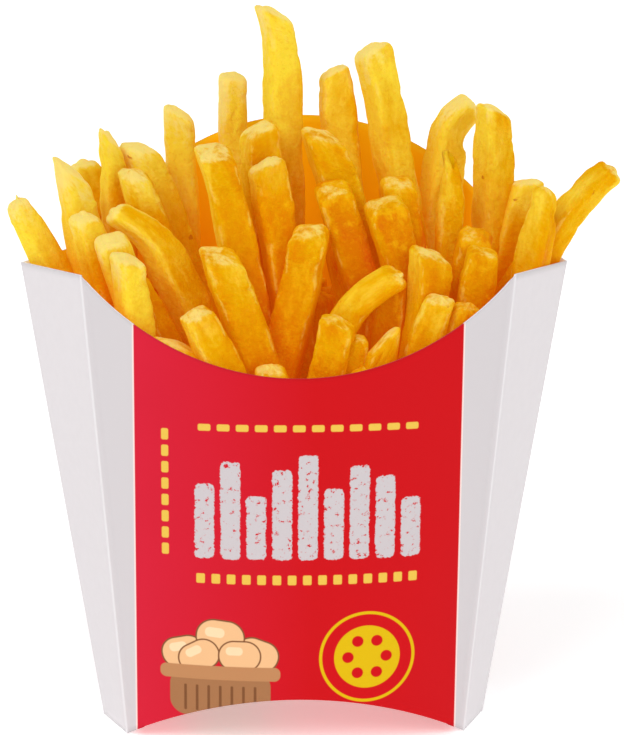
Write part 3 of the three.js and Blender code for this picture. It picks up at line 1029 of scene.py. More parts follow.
    def relief(self, grain: Vector, end: float) -> tuple[float, float]:
        """How far the crust stands out at a point of a fry.

        Args:
            grain: the point in the fry's own frame.
            end: 1 on a cut end, where the crust is rougher.

        Returns:
            The height, and how blistered the crust is there, 0 to 1.
        """
        wide = noise.noise(grain / self.bump[1]) * self.bump[0]
        grit = noise.noise(grain / self.grit[1]) * self.grit[0] * (1 + self.end_grit * end)
        crust = smooth_step(*self.crust_range, noise.noise(grain / self.crust_wave + Vector((31, 7, 3))))
        cell = noise.noise(grain / self.blister[1] + Vector((3, 3, 3)))
        return wide + grit + self.blister[0] * crust * max(0.0, cell), crust

    def kept_inside(self, place: Vector) -> Vector:
        """Moves a point off the board where it would touch it.

        Args:
            place: the point.

        Returns:
            The point itself, or the one that it is moved to.
        """
        gap, inward = self.shape.gap(place)
        short = self.shape.board + self.clearance - gap
        if short <= 0:
            return place
        rim = self.shape.rim_over(place.x, math.copysign(1, place.y))
        fade = min(max((rim + self.rim_fade - place.z) / self.rim_fade, 0.0), 1.0)
        return place + inward * (short * fade)


@dataclass
class HeapCore:
    """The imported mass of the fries' feet, low in the carton, as blunt ends side by side."""

    shape: CartonShape
    top: float = 66.0
    inset: float = 1.7  # from the outside of the board
    cells: int = 56
    top_share: float = 0.99  # points above this share of its height are on its top
    end_size: float = 8.5  # width of the blunt ends that its top shows
    end_rise: float = 5.0
    end_groove: float = 0.18  # how wide the grooves between them are, as a share of that width
    end_place: float = 3.7
    rim_power: int = 8  # keeps the ends off the core's own rim
    tone: float = 0.9
    weld: float = 0.01  # points that are closer are one

    def half_depth(self, x: float, z: float) -> float:
        """Distance from the middle plane to the core's side.

        Args:
            x: distance to the right of the middle.
            z: the height.

        Returns:
            The distance there.
        """
        shape = self.shape
        half, crease, fold = shape.half_at(z), shape.crease_at(z), shape.fold_at(z)
        if abs(x) < half:
            return crease + shape.bulge * (1 - (x / half) ** 2) - self.inset
        return max(0.0, crease * (fold - abs(x)) / (fold - half) - self.inset)

    def build(self, maker: FryMaker) -> bpy.types.Object:
        """Builds the core from a block that is fitted to the board.

        Args:
            maker: knows the layers that the crust's finish reads.

        Returns:
            The finished object.
        """
        bm = bmesh.new()
        layers = maker.layers(bm)
        bmesh.ops.create_cube(bm, size=2)
        bmesh.ops.subdivide_edges(bm, edges=bm.edges, cuts=self.cells - 1, use_grid_fill=True)
        for vert in bm.verts:
            up = (vert.co.z + 1) / 2
            x = vert.co.x * (self.shape.fold_at(up * self.top) - 2 * self.inset)
            low = self.shape.bottom_at(x) + self.inset
            z = lerp(low, self.top, up)
            y = vert.co.y * self.half_depth(x, z)
            if up > self.top_share:
                z += self.ends(x, y) * (1 - max(abs(vert.co.x), abs(vert.co.y)) ** self.rim_power)
            vert.co = (x, y, z)
            vert[layers["tone"]] = self.tone
            # The core is painted as fully shut in, so it takes the crust's painted shade and painted glow in
            # full.
            vert[layers["deep"]] = 1.0
            vert[layers["grain"]] = vert.co
        bmesh.ops.remove_doubles(bm, verts=bm.verts, dist=self.weld)
        bmesh.ops.recalc_face_normals(bm, faces=bm.faces)
        return finished("fries_core", bm)

    def ends(self, x: float, y: float) -> float:
        """Height of the blunt ends over the core's top.

        Args:
            x: distance to the right of the middle.
            y: distance to the back.

        Returns:
            The height there.
        """
        distances, points = noise.voronoi(Vector((x, y, 0)) / self.end_size)
        rise = noise.noise(points[0] * self.end_place) * self.end_rise
        groove = 1 - smooth_step(0.0, self.end_groove, distances[1] - distances[0])
        return rise - self.end_rise * groove


# ---- Finishes ----


class Fade(Enum):
    """How a layer of colour comes in."""

    STRAIGHT = "LINEAR"
    SOFT = "SMOOTHSTEP"


@dataclass(frozen=True)
class Layer:
    """A colour that is laid over another one."""

    drive: bpy.types.NodeSocket  # what turns it on
    start: float  # the drive's value where it begins
    full: float  # and where it is in full
    shade: bpy.types.NodeSocket | tuple[float, ...]
    strength: float = 1.0
    fade: Fade = Fade.STRAIGHT


def laid_over(tree: bpy.types.NodeTree, colour: bpy.types.NodeSocket | tuple[float, ...],
              layers: tuple[Layer, ...]) -> bpy.types.NodeSocket:
    """Lays colours over one another.

    Args:
        tree: the material's node tree.
        colour: what lies below them all.
        layers: the colours, from the lowest up.

    Returns:
        The colour that shows.
    """
    for layer in layers:
        mask = node(tree, "ShaderNodeMapRange", {
            "Value": layer.drive, "From Min": layer.start, "From Max": layer.full, "To Max": layer.strength,
        }, interpolation_type=layer.fade.value).outputs[0]
        colour = node(tree, "ShaderNodeMix", {
            0: mask, 6: colour, 7: layer.shade,
        }, data_type="RGBA").outputs[2]
    return colour


@dataclass(frozen=True)
class FriedPotato:
    """Crust of fries cut from peeled potato and fried in oil: dry, thin and crisp, with a slight oil sheen.

    The eye sees a golden skin that light sinks into, with pale flecks of starch, amber mottling, pale edges
    and cut ends, and a few brown specks. The pale edges are partly a painted highlight. Between close fries
    the crust is painted a warmer, deeper orange as painted shade and given a painted glow, and where the eye
    looks along it a painted gold rim light. Sizes are in millimetres.
    """

    lemon: str = "EED438"
    gold: str = "DEA800"
    orange: str = "D48000"
    ember: str = "D26010"
    starch: str = "F0D84C"  # pale patches of a pale fry
    husk: str = "E6B00C"  # and of a warm one
    amber: str = "D87606"
    brown: str = "B4560C"
    # Pale crust and a painted highlight along the corners.
    edge: str = "EED262"
    cream: str = "EEDC80"
    # The painted glow's colours: amber between the fries, and gold for the painted rim light.
    painted_glow_amber: str = "E06C06"
    painted_rim_gold: str = "F4B400"
    mottle_size: float = 7.0
    mottle_warmth: float = 1.3  # how far the mottling moves the colour, from its coldest to its warmest
    painted_gap_shade: float = 0.62  # painted shade: how much warmer and deeper orange a fry is painted where others stand close
    husk_warmth: tuple[float, float] = (0.1, 0.6)  # from here to there, the pale patches turn to husk
    patch_size: float = 3.2
    drawn_out: float = 0.45  # mottling and patches change this much more slowly along the fry
    end_thinness: float = 0.2  # how much thinner the crust is on a cut end
    fleck_size: float = 1.05
    speck_spacing: float = 6.5
    speck_chance: float = 0.72  # cells of that size whose chance is lower hold no speck
    speck_radius: float = 0.11  # of the largest speck, as a share of the spacing
    speck_ragged: float = 0.3
    edge_line: float = 0.74  # only this near to a corner does the edge show pale
    edge_patches: tuple[float, float] = (0.45, 0.65)  # and only where the crust is thin
    grit_size: float = 1.5
    grit_height: float = 0.7
    grit_strength: float = 0.9
    roughness: float = 0.48
    ior: float = 1.45
    specular: float = 0.02
    sunk_light: float = 0.45  # share of the light that goes in under the skin
    sunk_reach: float = 2.2  # and how far it goes there
    sunk_tint: tuple[float, float, float] = (1.0, 0.5, 0.12)
    glow: tuple[float, float] = (0.07, 0.14)  # painted glow: emission in the open, and how much more between close fries
    painted_rim_light: float = 0.16  # painted rim light: emission where the eye looks along the crust of a fry in the open
    rim_blend: float = 0.35

    def material(self) -> bpy.types.Material:
        """The crust's material, on the fry's own attributes.

        Returns:
            The material.
        """
        made, tree, shader = blank_material("fried_potato_crust")
        grain = node(tree, "ShaderNodeAttribute", attribute_name="grain").outputs["Vector"]
        read = {
            name: node(tree, "ShaderNodeAttribute", attribute_name=name).outputs["Fac"]
            for name in FLOAT_LAYERS
        }
        stretched = node(tree, "ShaderNodeMapping", {
            "Vector": grain, "Scale": (1, 1, self.drawn_out),
        }).outputs["Vector"]
        # The crust's uneven patterns: the place that each follows, its size, detail and roughness.
        mottle, patch, fleck, grit = (
            node(tree, "ShaderNodeTexNoise", {
                "Vector": place, "Scale": 1 / size, "Detail": detail, "Roughness": rough,
            }).outputs["Fac"]
            for place, size, detail, rough in (
                (stretched, self.mottle_size, 4.0, 0.62),
                (stretched, self.patch_size, 4.0, 0.62),
                (grain, self.fleck_size, 2.0, 0.55),
                (grain, self.grit_size, 4.0, 0.68),
            )
        )
        patch = node(tree, "ShaderNodeMath", {
            0: read["end"], 1: self.end_thinness, 2: patch,
        }, operation="MULTIPLY_ADD").outputs[0]
        bump = node(tree, "ShaderNodeBump", {
            "Height": grit, "Strength": self.grit_strength, "Distance": self.grit_height * METRE,
        }).outputs[0]
        plug(tree, shader, {
            "Base Color": self.colour(tree, read, grain, mottle, patch, fleck),
            "Normal": bump,
            "Roughness": self.roughness,
            "IOR": self.ior,
            "Specular IOR Level": self.specular,
            "Subsurface Weight": self.sunk_light,
            "Subsurface Radius": self.sunk_tint,
            "Subsurface Scale": self.sunk_reach * METRE,
        })
        # Painted glow: an emission that stands in for light through and between the fries.
        self.painted_glow(tree, shader, read["deep"])
        made.cycles.emission_sampling = "NONE"
        return made

    def colour(self, tree: bpy.types.NodeTree, read: dict[str, bpy.types.NodeSocket],
               grain: bpy.types.NodeSocket, mottle: bpy.types.NodeSocket, patch: bpy.types.NodeSocket,
               fleck: bpy.types.NodeSocket) -> bpy.types.NodeSocket:
        """Lays the crust's colours over one another.

        Args:
            tree: the material's node tree.
            read: the fry's attributes by name.
            grain: place in the fry's own frame, mm.
            mottle: wide noise.
            patch: noise that is high where the crust is thin.
            fleck: fine noise.

        Returns:
            The colour.
        """
        warm = node(tree, "ShaderNodeMath", {
            0: mottle, 1: self.mottle_warmth, 2: -self.mottle_warmth / 2,
        }, operation="MULTIPLY_ADD").outputs[0]
        warm = node(tree, "ShaderNodeMath", {0: warm, 1: read["tone"]}, operation="ADD").outputs[0]
        # Painted shade: the colour is painted warmer where other fries stand close.
        warm = node(tree, "ShaderNodeMath", {
            0: read["deep"], 1: self.painted_gap_shade, 2: warm,
        }, operation="MULTIPLY_ADD").outputs[0]
        browned = laid_over(tree, linear(self.lemon), (
            Layer(warm, 0.0, 0.42, linear(self.gold)),
            Layer(warm, 0.42, 0.85, linear(self.orange)),
            Layer(warm, 0.85, 1.25, linear(self.ember)),
        ))
        starch = laid_over(tree, linear(self.starch), (Layer(warm, *self.husk_warmth, linear(self.husk)),))
        crust_spots = node(tree, "ShaderNodeMath", {
            0: read["crust"], 1: fleck,
        }, operation="MULTIPLY").outputs[0]
        # A cut end keeps a pale skin where its crust is thin, but not on a dark fry, and it is painted less
        # pale between close fries, a painted shade.
        end_skin = read["end"]
        for drive, weight in ((patch, 1.6), (fleck, 0.8), (read["deep"], -0.7), (read["tone"], -1.2)):
            end_skin = node(tree, "ShaderNodeMath", {
                0: drive, 1: weight, 2: end_skin,
            }, operation="MULTIPLY_ADD").outputs[0]
        return laid_over(tree, browned, (
            Layer(patch, 0.53, 0.74, starch, 0.85, Fade.SOFT),
            Layer(fleck, 0.50, 0.76, starch, 0.36, Fade.SOFT),
            Layer(fleck, 0.46, 0.26, linear(self.amber), 0.22, Fade.SOFT),
            Layer(crust_spots, 0.30, 0.62, linear(self.amber), 0.25, Fade.SOFT),
            Layer(end_skin, 1.55, 2.2, linear(self.cream), 0.8, Fade.SOFT),
            # Pale edges: paler crust and a painted highlight along the corners.
            Layer(self.pale_edges_and_highlights(tree, read["edge"], patch), 0.25, 0.75, linear(self.edge), 0.42, Fade.SOFT),
            Layer(self.specks(tree, grain, fleck), 0.15, 0.2, linear(self.brown), 0.7, Fade.SOFT),
        ))

    def pale_edges_and_highlights(self, tree: bpy.types.NodeTree, edge: bpy.types.NodeSocket,
                   patch: bpy.types.NodeSocket) -> bpy.types.NodeSocket:
        """Where the very edge of a fry is pale: paler crust, and a painted highlight along the rounded
        corner.

        Args:
            tree: the material's node tree.
            edge: how near a point is to a corner.
            patch: noise that is high where the crust is thin.

        Returns:
            1 on a pale edge and 0 elsewhere.
        """
        line = node(tree, "ShaderNodeMapRange", {"Value": edge, "From Min": self.edge_line}).outputs[0]
        thin = node(tree, "ShaderNodeMapRange", {
            "Value": patch, "From Min": self.edge_patches[0], "From Max": self.edge_patches[1],
        }).outputs[0]
        return node(tree, "ShaderNodeMath", {0: line, 1: thin}, operation="MULTIPLY").outputs[0]

    def specks(self, tree: bpy.types.NodeTree, grain: bpy.types.NodeSocket,
               fleck: bpy.types.NodeSocket) -> bpy.types.NodeSocket:
        """Where the crust is freckled with brown.

        Args:
            tree: the material's node tree.
            grain: place in the fry's own frame, mm.
            fleck: fine noise that makes the specks ragged.

        Returns:
            A value that grows towards the middle of each speck.
        """
        cells = node(tree, "ShaderNodeTexVoronoi", {
            "Vector": grain, "Scale": 1 / self.speck_spacing,
        }, feature="F1")
        chance = node(tree, "ShaderNodeSeparateColor", {0: cells.outputs["Color"]}).outputs[0]
        radius = node(tree, "ShaderNodeMapRange", {
            "Value": chance, "From Min": self.speck_chance, "To Max": self.speck_radius,
        }).outputs[0]
        depth = node(tree, "ShaderNodeMath", {
            0: radius, 1: cells.outputs["Distance"],
        }, operation="SUBTRACT").outputs[0]
        return node(tree, "ShaderNodeMath", {
            0: fleck, 1: self.speck_ragged, 2: depth,
        }, operation="MULTIPLY_ADD").outputs[0]

    def painted_glow(self, tree: bpy.types.NodeTree, shader: bpy.types.Node,
                      deep: bpy.types.NodeSocket) -> None:
        """Paints a glow into the crust, an emission standing in for light through and between the fries:
        amber between them, and a painted gold rim light where the eye looks along the crust.

        Args:
            tree: the material's node tree.
            shader: the crust's shader.
            deep: how closely others stand about a point.
        """
        glow = node(tree, "ShaderNodeMapRange", {
            "Value": deep, "To Min": self.glow[0], "To Max": sum(self.glow),
        }).outputs[0]
        facing = node(tree, "ShaderNodeLayerWeight", {"Blend": self.rim_blend}).outputs["Facing"]
        open_air = node(tree, "ShaderNodeMath", {0: 1.0, 1: deep}, operation="SUBTRACT").outputs[0]
        rim = node(tree, "ShaderNodeMath", {0: facing, 1: open_air}, operation="MULTIPLY").outputs[0]
        glow = node(tree, "ShaderNodeMath", {
            0: rim, 1: self.painted_rim_light, 2: glow,
        }, operation="MULTIPLY_ADD").outputs[0]
        tint = node(tree, "ShaderNodeMix", {
            0: rim, 6: linear(self.painted_glow_amber), 7: linear(self.painted_rim_gold),
        }, data_type="RGBA").outputs[2]
        plug(tree, shader, {"Emission Strength": glow, "Emission Color": tint})


@dataclass(frozen=True)
class Patch:
    """One plain shape of the print: a bar, a disc or a block with rounded corners."""

    ink: str
    middle: tuple[float, float]
    half: tuple[float, float]
    round: float
    turn: float = 0.0
    worn: bool = False


@dataclass(frozen=True)
class Dashes:
    """A row of equal dashes."""

    count: int
    first: tuple[float, float]
    pitch: tuple[float, float]
    half: tuple[float, float]
    round: float


@dataclass(frozen=True)
class FrontPrint:
    """Plain shapes that are printed on a panel: bars in a frame of dashes, a badge and a bowl of rounds.

    Places are to the right of the panel's middle and up from the floor.
    """

    red: str = "C70610"
    white_ink: str = "C5BEC0"
    yellow_ink: str = "E2BB4C"
    badge_ink: str = "D8B404"
    brown_ink: str = "A2714A"
    dark_ink: str = "7A4E2F"
    band_ink: str = "B98458"
    tan_ink: str = "E8B886"
    pale_ink: str = "F3D3A8"
    bar_foot: tuple[float, float] = (-24, 51)  # of the first bar
    bar_pitch: float = 6.6
    bar_half: float = 2.5
    bar_round: float = 1.2
    bar_heights: tuple[float, ...] = (20, 26, 17, 24, 28, 19, 25, 22, 16)
    dashes: tuple[Dashes, ...] = (
        Dashes(12, (-24, 86), (4.8, 0), (1.6, 0.9), 0.5),
        Dashes(15, (-25, 45.5), (3.9, 0), (1.1, 1.3), 0.4),
        Dashes(8, (-34, 53), (0, 4.4), (0.9, 1.5), 0.5),
    )
    badge: tuple[float, float] = (18, 24)
    badge_radii: tuple[float, float, float] = (12.5, 11.7, 8.6)  # its rim, the red ring in it, its middle
    dots: int = 6
    dot_ring: float = 5.0
    dot_radius: float = 1.5
    # Middle, half length and turn of each round in the bowl.
    rounds: tuple[tuple[float, float, float, float], ...] = (
        (-29.5, 25, 5.4, 14),
        (-10.5, 25, 5.4, -20),
        (-20, 29.5, 6, -6),
        (-25.5, 24, 5.2, 30),
        (-15, 24.5, 5.2, 0),
    )
    outline: float = 0.4
    round_height: float = 0.74  # of a round, as a share of its length
    round_corner: float = 0.72
    shine_shift: tuple[float, float] = (-1.4, 1.3)
    shine_half: tuple[float, float] = (0.42, 0.22)
    shine_corner: float = 0.2
    bowl: tuple[float, float] = (-20, 14)
    bowl_half: tuple[float, float] = (13, 6.5)
    bowl_round: float = 4.5
    ribs: Dashes = Dashes(7, (-29, 12.5), (3, 0), (0.35, 3.6), 0.3)
    band: tuple[float, float] = (-20, 19.6)
    band_half: tuple[float, float] = (15.5, 1.9)
    band_round: float = 1.6

    def patches(self) -> list[Patch]:
        """All shapes, in the order in which they are laid down."""
        dashes = [patch for row in self.dashes for patch in self.row(self.yellow_ink, row)]
        return self.bars() + dashes + self.badge_patches() + self.bowl_patches()

    def bars(self) -> list[Patch]:
        """A row of upright bars of uneven height, with worn ink.

        Returns:
            The bars.
        """
        x, z = self.bar_foot
        return [
            Patch(self.white_ink, (x + self.bar_pitch * i, z + height / 2), (self.bar_half, height / 2),
                  self.bar_round, worn=True)
            for i, height in enumerate(self.bar_heights)
        ]

    @staticmethod
    def row(ink: str, dashes: Dashes) -> list[Patch]:
        """The dashes of one row.

        Args:
            ink: their colour.
            dashes: the row.

        Returns:
            The dashes.
        """
        (x, z), (right, up) = dashes.first, dashes.pitch
        return [
            Patch(ink, (x + right * i, z + up * i), dashes.half, dashes.round) for i in range(dashes.count)
        ]

    def badge_patches(self) -> list[Patch]:
        """A round badge with a ring of dots.

        Returns:
            Its discs, from the widest to the dots.
        """
        inks = (self.badge_ink, self.red, self.badge_ink)
        made = [Patch(ink, self.badge, (r, r), r) for ink, r in zip(inks, self.badge_radii, strict=True)]
        x, z = self.badge
        for i in range(self.dots):
            turn = math.radians(360 / self.dots * i)
            middle = (x + self.dot_ring * math.cos(turn), z + self.dot_ring * math.sin(turn))
            made.append(Patch(self.red, middle, (self.dot_radius, self.dot_radius), self.dot_radius))
        return made

    def bowl_patches(self) -> list[Patch]:
        """A ribbed brown bowl of tan rounds with a pale shine.

        Returns:
            Its shapes, from the rounds behind to the band in front.
        """
        made = []
        for x, z, long, turn in self.rounds:
            high, corner = long * self.round_height, long * self.round_corner
            rim = self.outline
            made.append(Patch(self.dark_ink, (x, z), (long + rim, high + rim), corner + rim, turn))
            made.append(Patch(self.tan_ink, (x, z), (long, high), corner, turn))
            shine = (x + self.shine_shift[0], z + self.shine_shift[1])
            shine_half = (long * self.shine_half[0], long * self.shine_half[1])
            made.append(Patch(self.pale_ink, shine, shine_half, long * self.shine_corner, turn))
        made.append(Patch(self.brown_ink, self.bowl, self.bowl_half, self.bowl_round))
        made += self.row(self.dark_ink, self.ribs)
        made.append(Patch(self.band_ink, self.band, self.band_half, self.band_round))
        return made


RED_FIELD_HALF = 41.7  # half width of the red field on a panel


@dataclass(frozen=True)
class CoatedBoard:
    """Clay-coated white paperboard, offset-printed and folded: smooth, satin, and a touch grey."""

    shape: CartonShape = CartonShape()
    artwork: FrontPrint = FrontPrint()
    white: str = "DFDADC"
    shade: str = "DAD5D7"
    margin_painted_shade: str = "CBC6C8"  # painted shade: the panels' margins are painted a touch greyer than the strips, as if less lit
    crease_painted_highlight: str = "F6F4F6"  # painted highlight: a paler line along each crease, where its bead catches the light
    line: str = "F3DCD6"
    # Painted light: the red is painted lighter and pinker towards the left, where the key light falls.
    red_painted_light: str = "D01C36"
    red_deep: str = "B50D1A"
    fibre_size: float = 2.5
    fibre_height: float = 0.02
    fibre_strength: float = 0.25
    cloud_size: float = 24.0
    cloud_share: float = 0.25  # how much of the deeper red shows where the ink is thick
    margin_edge: tuple[float, float] = (0.3, -0.6)  # distances past a crease where it begins and is in full
    opened_edge: tuple[float, float] = (0.35, 0.1)
    opened_share: float = 0.4
    line_width: float = 0.3  # of the thin unprinted line where the red was registered
    red_range: tuple[float, float] = (4.0, -40.0)  # from here to there, the red is painted lighter and pinker towards the left, a painted light
    edge_softness: float = 0.12
    wear_size: float = 1.6
    wear_shift: float = 1.6  # how ragged worn ink is at its rims
    wear_range: tuple[float, float] = (0.36, 0.42)  # where it is missing and where it is whole
    roughness: float = 0.5
    specular: float = 0.1

    def material(self, origin: Vector) -> bpy.types.Material:
        """The printed outside.

        Args:
            origin: the carton's own origin in the row's frame, in metres.

        Returns:
            The material.
        """
        made, tree, shader = blank_material("coated_paperboard_offset_print")
        place = node(tree, "ShaderNodeTexCoord").outputs["Object"]
        sheet = node(tree, "ShaderNodeMapping", {
            "Vector": place, "Location": -origin / METRE, "Scale": (1 / METRE,) * 3,
        }).outputs["Vector"]
        axes = node(tree, "ShaderNodeSeparateXYZ", {0: sheet})
        right, up = axes.outputs[0], axes.outputs[2]
        flat = node(tree, "ShaderNodeCombineXYZ", {0: right, 1: up}).outputs[0]
        fibre, cloud = (
            node(tree, "ShaderNodeTexNoise", {
                "Vector": sheet, "Scale": 1 / size, "Detail": detail,
            }).outputs["Fac"]
            for size, detail in ((self.fibre_size, 3.0), (self.cloud_size, 2.0))
        )
        across = node(tree, "ShaderNodeMath", {0: right}, operation="ABSOLUTE").outputs[0]
        shape = self.shape
        slope = (shape.panel_half_top - shape.panel_half_bottom) / shape.corner_height
        slant = node(tree, "ShaderNodeMath", {
            0: up, 1: -slope, 2: across,
        }, operation="MULTIPLY_ADD").outputs[0]
        past_crease = node(tree, "ShaderNodeMath", {
            0: slant, 1: shape.panel_half_bottom,
        }, operation="SUBTRACT").outputs[0]
        off_crease = node(tree, "ShaderNodeMath", {0: past_crease}, operation="ABSOLUTE").outputs[0]
        red = laid_over(tree, linear(self.artwork.red), (
            # Painted light: lighter, pinker red towards the left; the deeper clouds are uneven ink.
            Layer(right, *self.red_range, linear(self.red_painted_light)),
            Layer(cloud, 0.0, 1.0, linear(self.red_deep), self.cloud_share),
        ))
        soft, line_half = self.edge_softness, RED_FIELD_HALF + self.line_width
        colour = laid_over(tree, linear(self.white), (
            Layer(fibre, 0.0, 1.0, linear(self.shade)),
            # Painted shade: the panels' margins are greyer than the strips.
            Layer(past_crease, *self.margin_edge, linear(self.margin_painted_shade)),
            # Painted highlight: a paler line along each crease.
            Layer(off_crease, *self.opened_edge, linear(self.crease_painted_highlight), self.opened_share),
            Layer(across, line_half + soft, line_half, linear(self.line)),
            Layer(across, RED_FIELD_HALF + soft, RED_FIELD_HALF - soft, red),
        ))
        bump = node(tree, "ShaderNodeBump", {
            "Height": fibre, "Strength": self.fibre_strength, "Distance": self.fibre_height * METRE,
        }).outputs[0]
        plug(tree, shader, {
            "Base Color": self.printed(tree, flat, colour),
            "Normal": bump,
            "Roughness": self.roughness,
            "Specular IOR Level": self.specular,
        })
        return made

    def printed(self, tree: bpy.types.NodeTree, flat: bpy.types.NodeSocket,
                colour: bpy.types.NodeSocket) -> bpy.types.NodeSocket:
        """Lays the print's plain shapes over the field.

        Args:
            tree: the material's node tree.
            flat: place on the sheet, across and up.
            colour: what is printed on.

        Returns:
            The colour with the print on it.
        """
        wear = node(tree, "ShaderNodeTexNoise", {
            "Vector": flat, "Scale": 1 / self.wear_size, "Detail": 4.0, "Roughness": 0.7,
        })
        jitter = node(tree, "ShaderNodeVectorMath", {
            0: wear.outputs["Color"], 1: (0.5, 0.5, 0.5),
        }, operation="SUBTRACT").outputs[0]
        ragged = node(tree, "ShaderNodeVectorMath", {
            0: jitter, 1: (self.wear_shift, self.wear_shift, 0.0), 2: flat,
        }, operation="MULTIPLY_ADD").outputs[0]
        whole = node(tree, "ShaderNodeMapRange", {
            "Value": wear.outputs["Fac"], "From Min": self.wear_range[0], "From Max": self.wear_range[1],
        }).outputs[0]
        for patch in self.artwork.patches():
            moved = node(tree, "ShaderNodeMapping", {
                "Vector": ragged if patch.worn else flat, "Location": (*patch.middle, 0),
                "Rotation": (0, 0, math.radians(patch.turn)),
            }, vector_type="TEXTURE").outputs[0]
            folded = node(tree, "ShaderNodeVectorMath", {0: moved}, operation="ABSOLUTE").outputs[0]
            inner = (patch.half[0] - patch.round, patch.half[1] - patch.round, 0)
            past = node(tree, "ShaderNodeVectorMath", {0: folded, 1: inner}, operation="SUBTRACT").outputs[0]
            past = node(tree, "ShaderNodeVectorMath", {
                0: past, 1: (0, 0, 0),
            }, operation="MAXIMUM").outputs[0]
            away = node(tree, "ShaderNodeVectorMath", {0: past}, operation="LENGTH").outputs["Value"]
            mask = node(tree, "ShaderNodeMapRange", {
                "Value": away, "From Min": patch.round + self.edge_softness,
                "From Max": patch.round - self.edge_softness,
            }).outputs[0]
            if patch.worn:
                mask = node(tree, "ShaderNodeMath", {0: mask, 1: whole}, operation="MULTIPLY").outputs[0]
            colour = node(tree, "ShaderNodeMix", {
                0: mask, 6: colour, 7: linear(patch.ink),
            }, data_type="RGBA").outputs[2]
        return colour


@dataclass(frozen=True)
class BoardInside:
    """The carton's inside, flooded with a golden ink, painted deeper orange lower down as painted shade, and
    given a painted glow.
    """

    golden: str = "F6B800"
    # The painted shade's colour, lower in the carton.
    deep: str = "EA8C08"
    bare: str = "EDE6DE"
    fibre_size: float = 3.0
    fibre_shift: float = 8.0  # how uneven the painted shade's upper edge is
    painted_shade_range: tuple[float, float] = (88.0, 140.0)  # heights between which the painted shade gives way to the golden ink
    flood_half: float = 64.0
    flood_edge: float = 4.0
    roughness: float = 0.5
    specular: float = 0.1
    glow: float = 0.15  # painted glow: the inside gives off light in its own colour, standing in for light off the fries

    def material(self, origin: Vector) -> bpy.types.Material:
        """The inside's material, painted deeper in colour towards the bottom as painted shade.

        Args:
            origin: the carton's own origin in the row's frame, in metres.

        Returns:
            The material.
        """
        made, tree, shader = blank_material("paperboard_golden_inside")
        place = node(tree, "ShaderNodeTexCoord").outputs["Object"]
        sheet = node(tree, "ShaderNodeMapping", {
            "Vector": place, "Location": -origin / METRE, "Scale": (1 / METRE,) * 3,
        }).outputs["Vector"]
        axes = node(tree, "ShaderNodeSeparateXYZ", {0: sheet})
        across = node(tree, "ShaderNodeMath", {0: axes.outputs[0]}, operation="ABSOLUTE").outputs[0]
        fibre = node(tree, "ShaderNodeTexNoise", {
            "Vector": sheet, "Scale": 1 / self.fibre_size, "Detail": 3.0,
        }).outputs["Fac"]
        height = node(tree, "ShaderNodeMath", {
            0: fibre, 1: self.fibre_shift, 2: axes.outputs[2],
        }, operation="MULTIPLY_ADD").outputs[0]
        # Painted shade: the deeper colour lower down, clearing to golden ink higher up.
        colour = laid_over(tree, linear(self.deep), (
            Layer(height, *self.painted_shade_range, linear(self.golden), fade=Fade.SOFT),
            Layer(across, self.flood_half, self.flood_half + self.flood_edge, linear(self.bare)),
        ))
        plug(tree, shader, {
            "Base Color": colour,
            "Roughness": self.roughness,
            "Specular IOR Level": self.specular,
            # Painted glow: the inside gives off light in its own colour.
            "Emission Color": colour,
            "Emission Strength": self.glow,
        })
        made.cycles.emission_sampling = "NONE"
        return made


@dataclass(frozen=True)
class CutBoard:
    """The board's cut edge: bare white fibre, matt and faintly rough, with some of the red run onto it."""

    fibre: str = "F3F2F9"
    shade: str = "E6E4EE"
    ink: str = "C41524"
    fibre_size: float = 0.6
    bleed: float = 0.95  # how much of the red field's ink has run onto the edge
    bleed_edge: float = 0.3
    roughness: float = 0.8
    specular: float = 0.05

    def material(self, origin: Vector) -> bpy.types.Material:
        """The cut edge's material.

        Args:
            origin: the carton's own origin in the row's frame, in metres.

        Returns:
            The material.
        """
        made, tree, shader = blank_material("paperboard_cut_edge")
        place = node(tree, "ShaderNodeTexCoord").outputs["Object"]
        grain = node(tree, "ShaderNodeTexNoise", {
            "Vector": place, "Scale": 1 / (self.fibre_size * METRE), "Detail": 2.0,
        }).outputs["Fac"]
        right = node(tree, "ShaderNodeSeparateXYZ", {0: place}).outputs[0]
        right = node(tree, "ShaderNodeMath", {0: right, 1: origin.x}, operation="SUBTRACT").outputs[0]
        across = node(tree, "ShaderNodeMath", {0: right}, operation="ABSOLUTE").outputs[0]
        inked = RED_FIELD_HALF * METRE
        colour = laid_over(tree, linear(self.fibre), (
            Layer(grain, 0.0, 1.0, linear(self.shade)),
            Layer(across, inked, inked - self.bleed_edge * METRE, linear(self.ink), self.bleed),
        ))
        plug(tree, shader, {
            "Base Color": colour,
            "Roughness": self.roughness,
            "Specular IOR Level": self.specular,
        })
        return made


@dataclass(frozen=True)
class MattPaper:
    """The floor's matt white paper, faintly lit so that it runs into the white round it."""

    white: str = "FCFCFC"
    light: str = "FFFFFF"
    glow: float = 0.36
    roughness: float = 0.9
    specular: float = 0.1

    def material(self) -> bpy.types.Material:
        """The paper's material.

        Returns:
            The material.
        """
        made, tree, shader = blank_material("matt_white_paper")
        plug(tree, shader, {
            "Base Color": linear(self.white),
            "Emission Color": linear(self.light),
            "Emission Strength": self.glow,
            "Roughness": self.roughness,
            "Specular IOR Level": self.specular,
        })
        return made


# ---- Making objects ----


def carton_origin(shape: CartonShape) -> Vector:
    """The carton's own origin in the row's frame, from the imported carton's box.

    Args:
        shape: the carton's form.

    Returns:
        The point, in metres.
    """
    low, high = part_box("carton")
    front = shape.crease_at(shape.corner_height - shape.rim_sag) + shape.bulge
    return Vector(((low.x + high.x) / 2, low.y + front * METRE, low.z))


ORIGIN = carton_origin(CartonShape())


